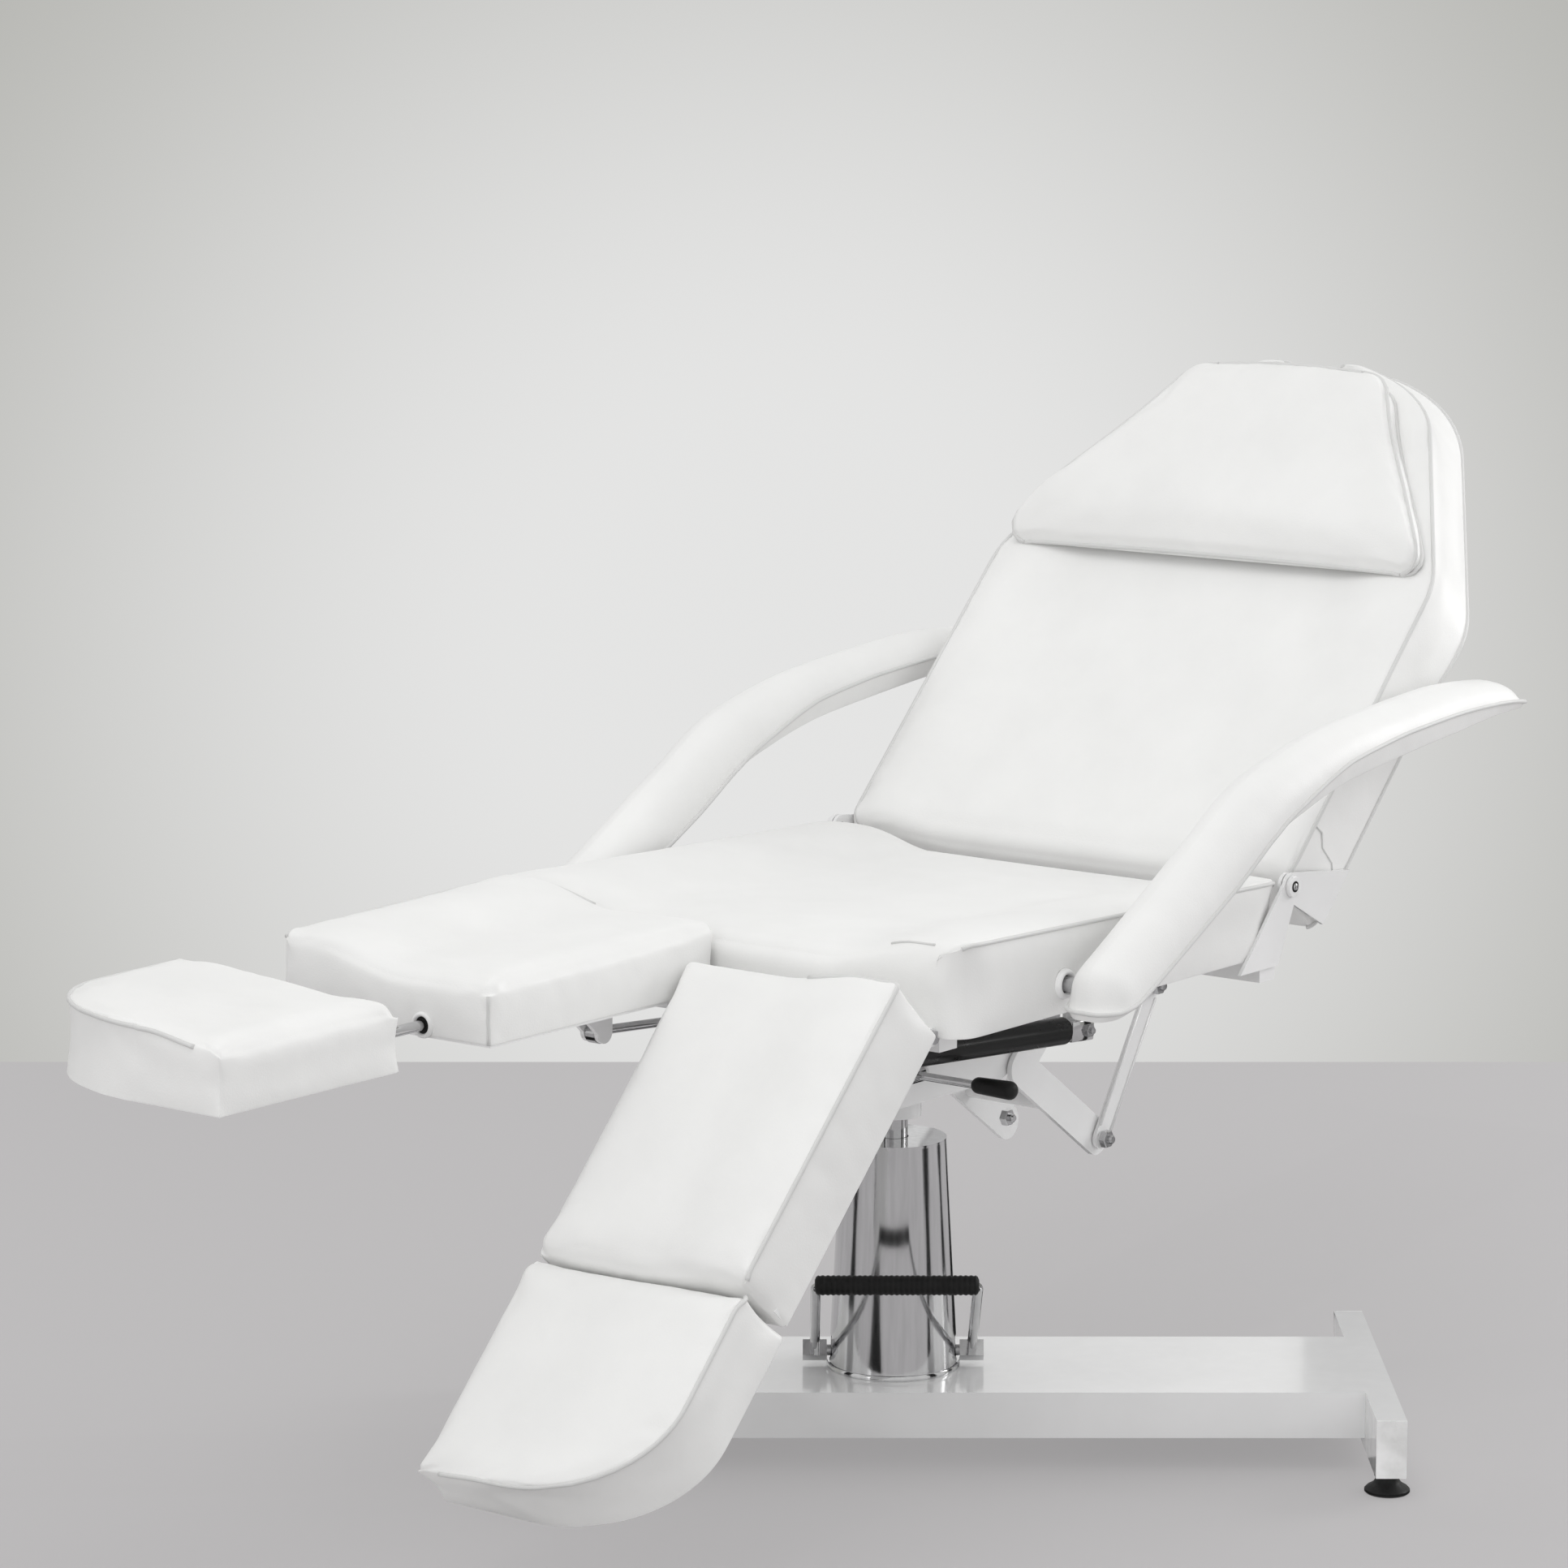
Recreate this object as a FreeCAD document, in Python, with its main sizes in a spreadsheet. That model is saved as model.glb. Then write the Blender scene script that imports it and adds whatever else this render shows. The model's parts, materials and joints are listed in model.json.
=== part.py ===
import FreeCAD, Part
import math
import os
import re

import Sketcher

# Hydraulic treatment chair-bed with split leg rests and parallelogram armrests.
# Millimetres and degrees. +X points to the head end, +Z up, and the origin is on the floor under
# the column. Left is the sitter's left, at -Y. The back reclines at back_angle, the left leg rest
# hangs down and the right one is raised with its foot cushion pulled out.

SIZES = {
    # base
    "base_turn": 52, "foot_height": 25,
    "beam_width": 224, "beam_height": 50, "beam_wall": 4, "beam_left": 400, "beam_right": 501,
    "crossbar_width": 32, "crossbar_height": 62, "crossbar_length": 435, "crossbar_wall": 3,
    "plug_depth": 12, "plug_rim": 3,
    "foot_radius": 24, "foot_disc": 9, "foot_neck": 11, "foot_inset": 32,
    "stud_radius": 5, "stud_depth": 16, "stud_rise": 32, "nut_radius": 9, "nut_height": 8,
    # fits between round pieces
    "close_fit": 0.05,
    # pump column
    "flange_radius": 62, "flange_thickness": 8,
    "flange_bolt_radius": 4, "flange_bolt_circle": 50, "flange_bolt_head": 6,
    "cylinder_radius": 30, "cylinder_bore": 22, "cylinder_height": 235, "gland_length": 25,
    "cover_foot_radius": 70, "cover_top_radius": 57, "cover_rise": 8, "cover_wall": 2,
    "cap_thickness": 3, "cap_clearance": 1, "slot_width": 28, "slot_rise": 19,
    "ram_radius": 15, "ram_rest": 23, "ram_show": 27, "hub_height": 75, "hub_radius": 30, "hub_roof": 6,
    # pedal
    "axle_rise": 8, "stub_radius": 6, "yoke_gap": 1.5, "yoke_rod": 3.5,
    "bearing_width": 12, "bearing_half_depth": 12, "bearing_rise": 12,
    "clamp_gap": 2, "clamp_length": 26, "clamp_half": 9,
    "pedal_rise": 33, "pedal_reach": 223, "pedal_bar_radius": 5.5, "pedal_bend": 12,
    "pedal_tail": 12, "pedal_grip_radius": 10.5,
    # carrier on the ram
    "carrier_inner": 50, "carrier_plate": 6, "carrier_depth": 50, "carrier_rise": 68, "carrier_front": 120,
    "carrier_nose": 38, "carrier_ear": 22, "deck_thickness": 8, "deck_front": 75, "deck_rear": 120,
    "layer_gap": 2, "crank_setback": 100, "crank_drop": 60, "crank_plate": 6, "crank_width": 40,
    "crank_pin": 8, "crank_shaft_radius": 9, "crank_head": 14,
    "crank_corner_back": 52, "crank_corner_drop": 50, "crank_tube": 10,
    "tip_out": 93, "tip_drop": 153.5, "strap_plate": 4, "strap_width": 24, "pin_head": 3,
    # seat
    "tube": 30, "tube_wall": 2, "frame_setback": 47, "frame_shortfall": 17, "rail": 53,
    "seat_board": 8, "board_inset": 16, "seat_front": 297, "seat_rear": 292, "seat_half_width": 305,
    "seat_thickness": 84, "seat_dish": 20, "skirt_drop": 11, "skirt_wall": 12, "skirt_front": 30,
    "cushion_gap": 0.3, "cushion_round": 14, "cushion_draw": 3, "end_draw": 12,
    # back hinge
    "hinge_setback": 8, "hinge_sink": 24, "hinge_plate": 4, "plate_gap": 1, "hinge_gap": 1.5,
    "hinge_boss": 14, "seat_plate_run": 98, "back_plate_run": 89, "plate_lean": 20,
    "hinge_bolt_radius": 6, "bolt_head_radius": 11, "bolt_head": 4,
    # backrest and pillow
    "back_angle": 45, "back_board": 12, "back_thickness": 90, "back_start": 8, "back_length": 735,
    "back_gap": 2.5, "back_crest": 65, "back_taper": 270, "neck_half_width": 182, "back_crown": 4,
    "horn_low": 20, "horn_high": 140, "horn_boss": 18,
    "pillow_top_gap": 35, "pillow_length": 270, "pillow_thickness": 38, "pillow_inset": 23,
    "pillow_top_inset": 37, "pillow_crown": 8, "pillow_round": 9,
    # armrests
    "arm_pivot_x": 120, "arm_pivot_rise": 20, "arm_up": 345, "arm_sink": 22,
    "bar_clearance": 2.7, "pad_gap": 1, "pad_width": 72, "pad_half": 28, "pad_round": 22, "pad_crown": 5,
    "pad_start": 30, "pad_drop": 14, "upper_arm_length": 506, "elbow_gap": 11,
    "arm_bar": 5, "arm_bar_width": 28, "arm_bar_gap": 2, "arm_pin": 8,
    "block_half": 18, "block_depth": 30, "block_rise": 44, "block_recess": 7,
    "grommet_radius": 16, "grommet_thickness": 4,
    # leg rests
    "leg_hinge_out": 3, "leg_hinge_rise": 28, "leg_step": 9, "leg_rod_radius": 7, "leg_rod_inset": 12,
    "ear_radius": 9.5, "ear_thickness": 6, "ear_gap": 10,
    "leg_inner": 4, "leg_inset": 17, "calf_gap": 3, "calf_length": 348, "leg_gap": 6,
    "foot_length": 243, "leg_low": 11,
    "calf_frame": 26, "frame_inset": 3, "leg_dish": 8, "leg_tuck": 2,
    "foot_corner": 100, "lowered_angle": 45.5, "foot_pull": 123,
    "foot_rod_radius": 5.5, "foot_rod_spread": 54, "foot_rod_end": 10, "foot_rod_stop": 58,
    "eye_width": 30, "eye_inset": 16, "fin_thickness": 5, "fin_boss": 12, "fin_run": 70,
    # gas struts
    "strut_run": 434.4, "gas_radius": 15, "gas_wall": 3,
    "gas_start": 30, "rod_show": 104.4, "gas_rod_radius": 5, "gas_rod_inside": 110, "piston_length": 14,
    "strut_pin_out": 22.9, "strut_pin_drop": 44.5, "strut_pin": 4, "strut_eye": 11, "strut_eye_width": 12,
    "strut_eye_clearance": 0.35, "strut_fork_gap": 1,
    # lock lever
    "lever_x": 65, "lever_drop": 10, "lever_pivot": 74, "lever_reach": 202, "lever_rod_radius": 4.5,
    "lever_pin": 4, "lever_eye": 10, "lever_ear": 5, "lever_ear_gap": 0.5, "lever_grip_radius": 10,
    "lever_grip_length": 50,
}

# Sizes worked out from the ones above, so that pieces that meet keep together
TIES = {
    # heights, from the floor up
    "base_top": "foot_height + crossbar_height",
    "flange_top": "base_top + flange_thickness",
    "axle_height": "flange_top + axle_rise",
    "slot_top": "axle_height + slot_rise",
    "cylinder_top": "flange_top + cylinder_height",
    "cover_top": "cylinder_top + cover_rise",
    "ram_bottom": "flange_top + ram_rest",
    "hub_bottom": "cover_top + ram_show",
    "hub_top": "hub_bottom + hub_height",
    "lever_z": "hub_top - lever_drop",
    "carrier_bottom": "hub_top - carrier_depth",
    "frame_bottom": "hub_top + carrier_rise",
    "frame_top": "frame_bottom + tube",
    "board_top": "frame_top + seat_board",
    "crank_z": "frame_bottom - crank_drop",
    "leg_hinge_z": "frame_bottom + leg_hinge_rise",
    "arm_pivot_z": "board_top + arm_pivot_rise",
    "seat_top": "board_top + seat_thickness",
    "hinge_z": "seat_top - hinge_sink",
    "leg_top": "seat_top - leg_hinge_z - leg_step",
    # places along the chair
    "frame_front": "seat_front - frame_setback",
    "frame_rear": "seat_rear - frame_shortfall",
    "hinge_x": "seat_rear + hinge_setback",
    "crank_x": "hinge_x - crank_setback",
    "leg_hinge_x": "seat_front + leg_hinge_out",
    "anchor_x": "strut_run - leg_hinge_x",
    "gas_length": "strut_run - gas_start - rod_show",
    "foot_rod_in_foot": "foot_length - foot_rod_end",
    "foot_rod_in_calf": "calf_length - foot_rod_stop",
    # places up the back
    "back_neck": "back_length - back_crest",
    "back_shoulder": "back_neck - back_taper",
    "pillow_end": "back_length - pillow_top_gap",
    "pillow_start": "pillow_end - pillow_length",
    "arm_out": "arm_sink - back_thickness",
    "arm_reach": "arm_up * cos(back_angle) - arm_out * sin(back_angle)",
    "arm_rise": "arm_up * sin(back_angle) + arm_out * cos(back_angle)",
    # layers out from the middle
    "clamp_inner": "cover_foot_radius + clamp_gap",
    "pedal_span": "clamp_inner + clamp_length / 2",
    "carrier_outer": "carrier_inner + carrier_plate",
    "crank_inner": "carrier_outer + layer_gap",
    "crank_outer": "crank_inner + crank_plate",
    "strap_inner": "crank_outer + layer_gap",
    "strap_outer": "strap_inner + strap_plate",
    "leg_outer": "seat_half_width - leg_inset",
    "leg_rod_half": "leg_outer - leg_rod_inset",
    "leg_middle": "(leg_inner + leg_outer) / 2",
    "seat_plate_inner": "seat_half_width + plate_gap",
    "seat_plate_outer": "seat_plate_inner + hinge_plate",
    "hinge_inner": "seat_plate_inner - hinge_gap - hinge_plate",
    "back_half_width": "hinge_inner - back_gap",
    "pillow_low_half": "back_half_width - pillow_inset",
    "pillow_top_half": "neck_half_width - pillow_top_inset",
    "upper_bar_inner": "seat_plate_outer + bolt_head + bar_clearance",
    "lower_bar_inner": "upper_bar_inner + arm_bar + arm_bar_gap",
    "lower_bar_outer": "lower_bar_inner + arm_bar",
    "pad_inner": "seat_plate_outer + bolt_head + pad_gap",
}

doc = FreeCAD.newDocument("treatment_chair")
sheet = doc.addObject("Spreadsheet::Sheet", "Sizes")
cells = {alias: str(number) for alias, number in SIZES.items()}
cells.update({alias: "=" + text for alias, text in TIES.items()})
for row, (alias, content) in enumerate(cells.items(), start=1):
    sheet.set(f"A{row}", alias)
    sheet.set(f"B{row}", content)
    sheet.setAlias(f"B{row}", alias)
doc.recompute()

X_AXIS = FreeCAD.Vector(1, 0, 0)
Y_AXIS = FreeCAD.Vector(0, 1, 0)
Z_AXIS = FreeCAD.Vector(0, 0, 1)
sub_parts = {}


# Helpers: formulas, primitives, booleans and placements

def formula(text):
    """A formula in the sheet's words, with each word written as a cell of the sheet."""
    def cell(match):
        word = match.group(0)
        return f"Sizes.{word}" if word in cells else word

    return re.sub(r"[a-z_]+", cell, text)


def value(text):
    number = sheet.evalExpression(formula(text))
    return float(getattr(number, "Value", number))


def bind(item, **formulas):
    for name, text in formulas.items():
        item.setExpression(name, formula(text))
    return item


def put(item, x="0", y="0", z="0"):
    for axis, text in zip("xyz", (x, y, z)):
        item.setExpression("Placement.Base." + axis, formula(text))
    return item


def turned(item, axis, angle, x="0", y="0", z="0"):
    """Turns an item about an axis through its own origin and moves that origin to x, y, z."""
    item.Placement = FreeCAD.Placement(FreeCAD.Vector(), FreeCAD.Rotation(axis, 1))
    item.setExpression("Placement.Rotation.Angle", formula(angle))
    return put(item, x, y, z)


def box(x0, x1, y0, y1, z0, z1):
    item = doc.addObject("Part::Box", "box")
    bind(item, Length=f"({x1}) - ({x0})", Width=f"({y1}) - ({y0})", Height=f"({z1}) - ({z0})")
    return put(item, x0, y0, z0)


def cylinder(axis, a, b, start, end, radius):
    """A cylinder along an axis; a and b are its other two coordinates, in x, y, z order."""
    item = doc.addObject("Part::Cylinder", "cylinder")
    bind(item, Radius=radius, Height=f"({end}) - ({start})")
    if axis == "x":
        item.Placement = FreeCAD.Placement(FreeCAD.Vector(), FreeCAD.Rotation(Y_AXIS, 90))
        return put(item, start, a, b)
    if axis == "y":
        item.Placement = FreeCAD.Placement(FreeCAD.Vector(), FreeCAD.Rotation(X_AXIS, -90))
        return put(item, a, start, b)
    return put(item, a, b, start)


def cone(start, end, radius_start, radius_end):
    item = doc.addObject("Part::Cone", "cone")
    bind(item, Radius1=radius_start, Radius2=radius_end, Height=f"({end}) - ({start})")
    return put(item, z=start)


def cut(base, *tools):
    for tool in tools:
        item = doc.addObject("Part::Cut", "cut")
        item.Base = base
        item.Tool = tool
        base = item
    return base


def fuse(*items):
    item = doc.addObject("Part::MultiFuse", "fuse")
    item.Shapes = list(items)
    return item


def group(*items):
    item = doc.addObject("Part::Compound", "group")
    item.Links = list(items)
    return item


def plate(outline, y0, y1):
    """A flat plate between y0 and y1, padded from a sketch of its outline in X and Z."""
    body = doc.addObject("PartDesign::Body", "plate")
    sketch = body.newObject("Sketcher::SketchObject", "outline")
    plane = [feature for feature in body.Origin.OriginFeatures if feature.Role == "XZ_Plane"][0]
    sketch.AttachmentSupport = [(plane, "")]
    sketch.MapMode = "FlatFace"
    corners = [FreeCAD.Vector(value(x), value(z), 0) for x, z in outline]
    count = len(corners)
    for index in range(count):
        sketch.addGeometry(Part.LineSegment(corners[index], corners[(index + 1) % count]), False)
    for index in range(count):
        sketch.addConstraint(Sketcher.Constraint("Coincident", index, 2, (index + 1) % count, 1))
    for index, (x, z) in enumerate(outline):
        for kind, text in (("DistanceX", x), ("DistanceY", z)):
            place = sketch.addConstraint(Sketcher.Constraint(kind, -1, 1, index, 1, value(text)))
            sketch.setExpression(f"Constraints[{place}]", formula(text))
    pad = body.newObject("PartDesign::Pad", "pad")
    pad.Profile = sketch
    pad.setExpression("Length", formula(f"({y1}) - ({y0})"))
    return put(body, y=y1)


def round_bar(ends, width, y0, y1):
    """A flat bar with round ends from one (x, z) point to another, between y0 and y1."""
    (x0, z0), (x1, z1) = ends
    length = f"sqrt((({x1}) - ({x0}))^2 + (({z1}) - ({z0}))^2)"
    bar = box("0", length, "0", f"({y1}) - ({y0})", f"-({width}) / 2", f"({width}) / 2")
    straight = turned(group(bar), Y_AXIS, f"-atan2(({z1}) - ({z0}); ({x1}) - ({x0}))", x0, y0, z0)
    discs = [cylinder("y", x, z, y0, y1, f"({width}) / 2") for x, z in ends]
    return fuse(straight, *discs)


def cushion_section(x, y0, y1, low, high, crown, draw, rounding):
    """A cushion's outline at x: flat underneath, sides drawn in, rounded top edges and a curved top."""
    def point(y, z):
        return FreeCAD.Vector(x, y, z)

    def arc(start, middle, end):
        return Part.Arc(point(*start), point(*middle), point(*end)).toShape()

    nook = rounding * (1 - math.sqrt(0.5))
    shoulder = high - rounding
    waist = (low + shoulder) / 2
    edges = [
        Part.makeLine(point(y0, low), point(y1, low)),
        arc((y1, low), (y1 - draw, waist), (y1, shoulder)),
        arc((y1, shoulder), (y1 - nook, high - nook), (y1 - rounding, high)),
        arc((y1 - rounding, high), ((y0 + y1) / 2, high + crown), (y0 + rounding, high)),
        arc((y0 + rounding, high), (y0 + nook, high - nook), (y0, shoulder)),
        arc((y0, shoulder), (y0 + draw, waist), (y0, low)),
    ]
    return Part.Wire(edges)


def cushion(stations, crown, rounding="cushion_round"):
    """A loft through (x, y0, y1, low, high) stations with the same crown, draw and rounding."""
    form = (value(crown), value("cushion_draw"), value(rounding))
    sections = [cushion_section(*station, *form) for station in stations]
    item = doc.addObject("Part::Feature", "cushion")
    item.Shape = Part.makeLoft(sections, True, True)
    return item


def sub_part(label, item):
    item.Label = label
    sub_parts[label] = item
    return item


def on_base(item):
    return turned(item, Z_AXIS, "-base_turn")


def on_pedal(item):
    """Moves an item from the pedal's own axes, with its arms along -Y, to the raised pedal."""
    return on_base(group(turned(group(item), X_AXIS, "-pedal_rise", z="axle_height")))


def on_back(item):
    """Moves an item from the back's axes, with X up the back and Z out of its front, to the recline."""
    return turned(item, Y_AXIS, "-back_angle", "hinge_x", "0", "hinge_z")


def on_leg(side, item):
    angle = "-lowered_angle" if side == "left" else "0"
    return turned(item, Y_AXIS, angle, "-leg_hinge_x", "0", "leg_hinge_z")


def side_range(sign, low, high):
    """The Y range of a piece that lies between low and high out from the middle."""
    return (low, high) if sign > 0 else (f"-({high})", f"-({low})")


SIDES = (("left", -1), ("right", 1))


# Base: beam, crossbars with plugs, levelling feet

beam_low = "base_top - beam_height"
beam = cut(
    box("-beam_left", "beam_right", "-beam_width / 2", "beam_width / 2", beam_low, "base_top"),
    box("-beam_left", "beam_right", "beam_wall - beam_width / 2", "beam_width / 2 - beam_wall",
        f"{beam_low} + beam_wall", "base_top - beam_wall"))
sub_part("base_beam", on_base(beam))

bar_low = "base_top - crossbar_height"
half_bar = "crossbar_length / 2"
bars, plugs, feet, studs = [], [], [], []
stud_bore = "stud_radius + close_fit"
for x0, x1 in (("-beam_left - crossbar_width", "-beam_left"), ("beam_right", "beam_right + crossbar_width")):
    walls = (f"{x0} + crossbar_wall", f"{x1} - crossbar_wall")
    inside = (f"{bar_low} + crossbar_wall", "base_top - crossbar_wall")
    middle = f"({x0} + {x1}) / 2"
    holes = []
    for sign in (-1, 1):
        y = f"{sign} * ({half_bar} - foot_inset)"
        holes.append(cylinder("z", middle, y, bar_low, f"{bar_low} + crossbar_wall", stud_bore))
        foot = put(fuse(
            cone("0", "foot_disc", "foot_radius", "foot_neck"),
            cylinder("z", "0", "0", "foot_disc", bar_low, "foot_neck")), middle, y)
        feet.append(cut(foot, cylinder("z", middle, y, f"{bar_low} - stud_depth", bar_low, stud_bore)))
        studs.append(fuse(
            cylinder("z", middle, y, f"{bar_low} - stud_depth", f"{bar_low} + stud_rise", "stud_radius"),
            cylinder("z", middle, y, f"{bar_low} + crossbar_wall", f"{bar_low} + crossbar_wall + nut_height",
                     "nut_radius")))
        end = f"{sign} * ({half_bar})"
        tail = f"{sign} * ({half_bar} - plug_depth)"
        rim = f"{sign} * ({half_bar} + plug_rim)"
        stopper = (tail, end) if sign > 0 else (end, tail)
        head = (end, rim) if sign > 0 else (rim, end)
        plugs.append(fuse(box(*walls, *stopper, *inside), box(x0, x1, *head, bar_low, "base_top")))
    tube = cut(
        box(x0, x1, f"-{half_bar}", half_bar, bar_low, "base_top"),
        box(*walls, f"-{half_bar}", half_bar, *inside))
    bars.append(cut(tube, *holes))
sub_part("base_crossbars", on_base(group(*bars)))
sub_part("crossbar_plugs", on_base(group(*plugs)))
sub_part("levelling_feet", on_base(group(*feet)))
sub_part("foot_studs", on_base(group(*studs)))


# Pump column: flange, cylinder, gland, tapered cover and cap

bolts, bolt_holes = [], []
for sign_x, sign_y in ((1, 1), (1, -1), (-1, 1), (-1, -1)):
    x = f"{sign_x} * flange_bolt_circle * cos(45)"
    y = f"{sign_y} * flange_bolt_circle * sin(45)"
    bolt_holes.append(cylinder("z", x, y, "base_top", "flange_top", "flange_bolt_radius + close_fit"))
    bolts.append(fuse(
        cylinder("z", x, y, "base_top", "flange_top", "flange_bolt_radius"),
        cylinder("z", x, y, "flange_top", "flange_top + flange_bolt_head", "2 * flange_bolt_radius")))
flange = cylinder("z", "0", "0", "base_top", "flange_top", "flange_radius")
sub_part("pump_flange", on_base(cut(flange, *bolt_holes)))
sub_part("flange_bolts", on_base(group(*bolts)))
sub_part("pump_cylinder", cut(
    cylinder("z", "0", "0", "flange_top", "cylinder_top", "cylinder_radius"),
    cylinder("z", "0", "0", "flange_top + flange_thickness", "cylinder_top", "cylinder_bore")))
sub_part("cylinder_gland", cut(
    cylinder("z", "0", "0", "cylinder_top - gland_length", "cylinder_top", "cylinder_bore - close_fit"),
    cylinder("z", "0", "0", "cylinder_top - gland_length", "cylinder_top", "ram_radius + close_fit")))

cover = cut(
    cone("base_top", "cover_top", "cover_foot_radius", "cover_top_radius"),
    cone("base_top", "cover_top", "cover_foot_radius - cover_wall", "cover_top_radius - cover_wall"),
    box("-cover_foot_radius", "cover_foot_radius", "-slot_width / 2", "slot_width / 2",
        "base_top", "slot_top"))
sub_part("column_cover", on_base(cover))
cap = fuse(
    cylinder("z", "0", "0", "cover_top", "cover_top + cap_thickness", "cover_top_radius"),
    cylinder("z", "0", "0", "cylinder_top", "cover_top", "cover_top_radius - cover_wall - close_fit"))
sub_part("column_cap", cut(
    cap, cylinder("z", "0", "0", "cylinder_top", "cover_top + cap_thickness", "ram_radius + cap_clearance")))

yoke_radius = "((cylinder_radius + yoke_gap) / cos(pedal_rise) + yoke_rod)"
bearing_inner = f"({yoke_radius} + yoke_rod + yoke_gap)"
bearings = []
for sign in (-1, 1):
    x0, x1 = side_range(sign, bearing_inner, f"{bearing_inner} + bearing_width")
    bearings.append(cut(
        box(x0, x1, "-bearing_half_depth", "bearing_half_depth", "flange_top", "axle_height + bearing_rise"),
        cylinder("x", "0", "axle_height", x0, x1, "stub_radius + close_fit")))
sub_part("pedal_bearings", on_base(group(*bearings)))


# Pedal: yoke around the cylinder, clamps, bent bar and grip, with the axle as origin

ring = doc.addObject("Part::Torus", "ring")
bind(ring, Radius1=yoke_radius, Radius2="yoke_rod")
ring.Angle3 = 180
stub_end = "pedal_span - pedal_bar_radius - close_fit"
stubs = [cylinder("x", "0", "0", *side_range(sign, yoke_radius, stub_end), "stub_radius") for sign in (-1, 1)]
sub_part("pedal_yoke", on_pedal(fuse(turned(group(ring), Z_AXIS, "180"), *stubs)))

clamps, bar_pieces = [], []
arm_end = "pedal_bend - pedal_reach"
for sign in (-1, 1):
    x0, x1 = side_range(sign, "clamp_inner", "clamp_inner + clamp_length")
    span = f"{sign} * pedal_span"
    stub_hole = cylinder("x", "0", "0", *side_range(sign, "clamp_inner", stub_end), "stub_radius + close_fit")
    bar_hole = cylinder("y", span, "0", "-clamp_half", "clamp_half", "pedal_bar_radius + close_fit")
    block = box(x0, x1, "-clamp_half", "clamp_half", "-clamp_half", "clamp_half")
    clamps.append(cut(block, stub_hole, bar_hole))
    bar_pieces.append(cylinder("y", span, "0", arm_end, "pedal_tail", "pedal_bar_radius"))
    bend = doc.addObject("Part::Torus", "bend")
    bind(bend, Radius1="pedal_bend", Radius2="pedal_bar_radius")
    bend.Angle3 = 90
    corner_x = f"{sign} * (pedal_span - pedal_bend)"
    bar_pieces.append(turned(group(bend), Z_AXIS, "-90" if sign > 0 else "180", corner_x, arm_end))
grip_half = "pedal_span - pedal_bend"
bar_pieces.append(cylinder("x", "-pedal_reach", "0", f"-({grip_half})", grip_half, "pedal_bar_radius"))
sub_part("pedal_clamps", on_pedal(group(*clamps)))
sub_part("pedal_bar", on_pedal(fuse(*bar_pieces)))
grip_place = ("x", "-pedal_reach", "0", f"-({grip_half})", grip_half)
sub_part("pedal_grip", on_pedal(cut(
    cylinder(*grip_place, "pedal_grip_radius"), cylinder(*grip_place, "pedal_bar_radius + close_fit"))))


# Ram, hub and carrier

sub_part("lift_ram", cylinder("z", "0", "0", "ram_bottom", "hub_top - hub_roof - close_fit", "ram_radius"))
sub_part("swivel_hub", cut(
    cylinder("z", "0", "0", "hub_bottom", "hub_top", "hub_radius"),
    cylinder("z", "0", "0", "hub_bottom", "hub_top - hub_roof", "ram_radius + close_fit")))

carrier_outline = [
    ("-deck_front", "carrier_bottom"), ("deck_rear", "carrier_bottom"),
    ("crank_x + carrier_ear", "crank_z - carrier_ear"), ("crank_x + carrier_ear", "crank_z + carrier_ear"),
    ("crank_x - carrier_ear", "frame_bottom"), ("-carrier_front", "frame_bottom"),
    ("-carrier_front", "frame_bottom - carrier_nose")]
carrier_pieces = [
    box("-deck_front", "deck_rear", "-carrier_inner", "carrier_inner", "hub_top", "hub_top + deck_thickness")]
for side, sign in SIDES:
    carrier_pieces.append(plate(carrier_outline, *side_range(sign, "carrier_inner", "carrier_outer")))
shaft_hole = cylinder("y", "crank_x", "crank_z", "-carrier_outer", "carrier_outer",
                      "crank_shaft_radius + close_fit")
sub_part("carrier_frame", cut(fuse(*carrier_pieces), shaft_hole))

shaft = cylinder("y", "crank_x", "crank_z", "-crank_outer", "crank_outer", "crank_shaft_radius")
shaft_pieces = [shaft]
for side, sign in SIDES:
    head_end = "crank_outer + pin_head"
    neck_range = side_range(sign, "crank_outer", head_end)
    head_range = side_range(sign, "crank_outer + layer_gap / 2", head_end)
    shaft_pieces.append(cylinder("y", "crank_x", "crank_z", *neck_range, "crank_shaft_radius"))
    shaft_pieces.append(cylinder("y", "crank_x", "crank_z", *head_range, "crank_head"))
sub_part("crank_shaft", fuse(*shaft_pieces))


# Crank and straps that carry the backrest

pivot = ("crank_x", "crank_z")
corner = ("crank_x - crank_corner_back", "crank_z - crank_corner_drop")
tip = ("crank_x + tip_out", "crank_z - tip_drop")
crank_pieces = []
for side, sign in SIDES:
    layer = side_range(sign, "crank_inner", "crank_outer")
    crank_pieces.append(round_bar((pivot, corner), "crank_width", *layer))
    crank_pieces.append(round_bar((corner, tip), "crank_width", *layer))
    pin = side_range(sign, "crank_inner", "strap_outer + pin_head")
    crank_pieces.append(cylinder("y", *tip, *pin, "crank_pin"))
tube_place = [f"({a} + {b}) / 2" for a, b in zip(corner, tip)]
crank_pieces.append(cylinder("y", *tube_place, "-crank_inner", "crank_inner", "crank_tube"))
sub_part("crank", cut(fuse(*crank_pieces), cylinder(
    "y", *pivot, "-crank_outer", "crank_outer", "crank_shaft_radius + close_fit")))

horn_pivot = ("hinge_x + tip_out", "hinge_z - tip_drop")
straps = []
for side, sign in SIDES:
    layer = side_range(sign, "strap_inner", "strap_outer")
    holes = [cylinder("y", *place, *layer, "crank_pin + close_fit") for place in (tip, horn_pivot)]
    straps.append(cut(round_bar((tip, horn_pivot), "strap_width", *layer), *holes))
sub_part("link_straps", group(*straps))


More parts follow.
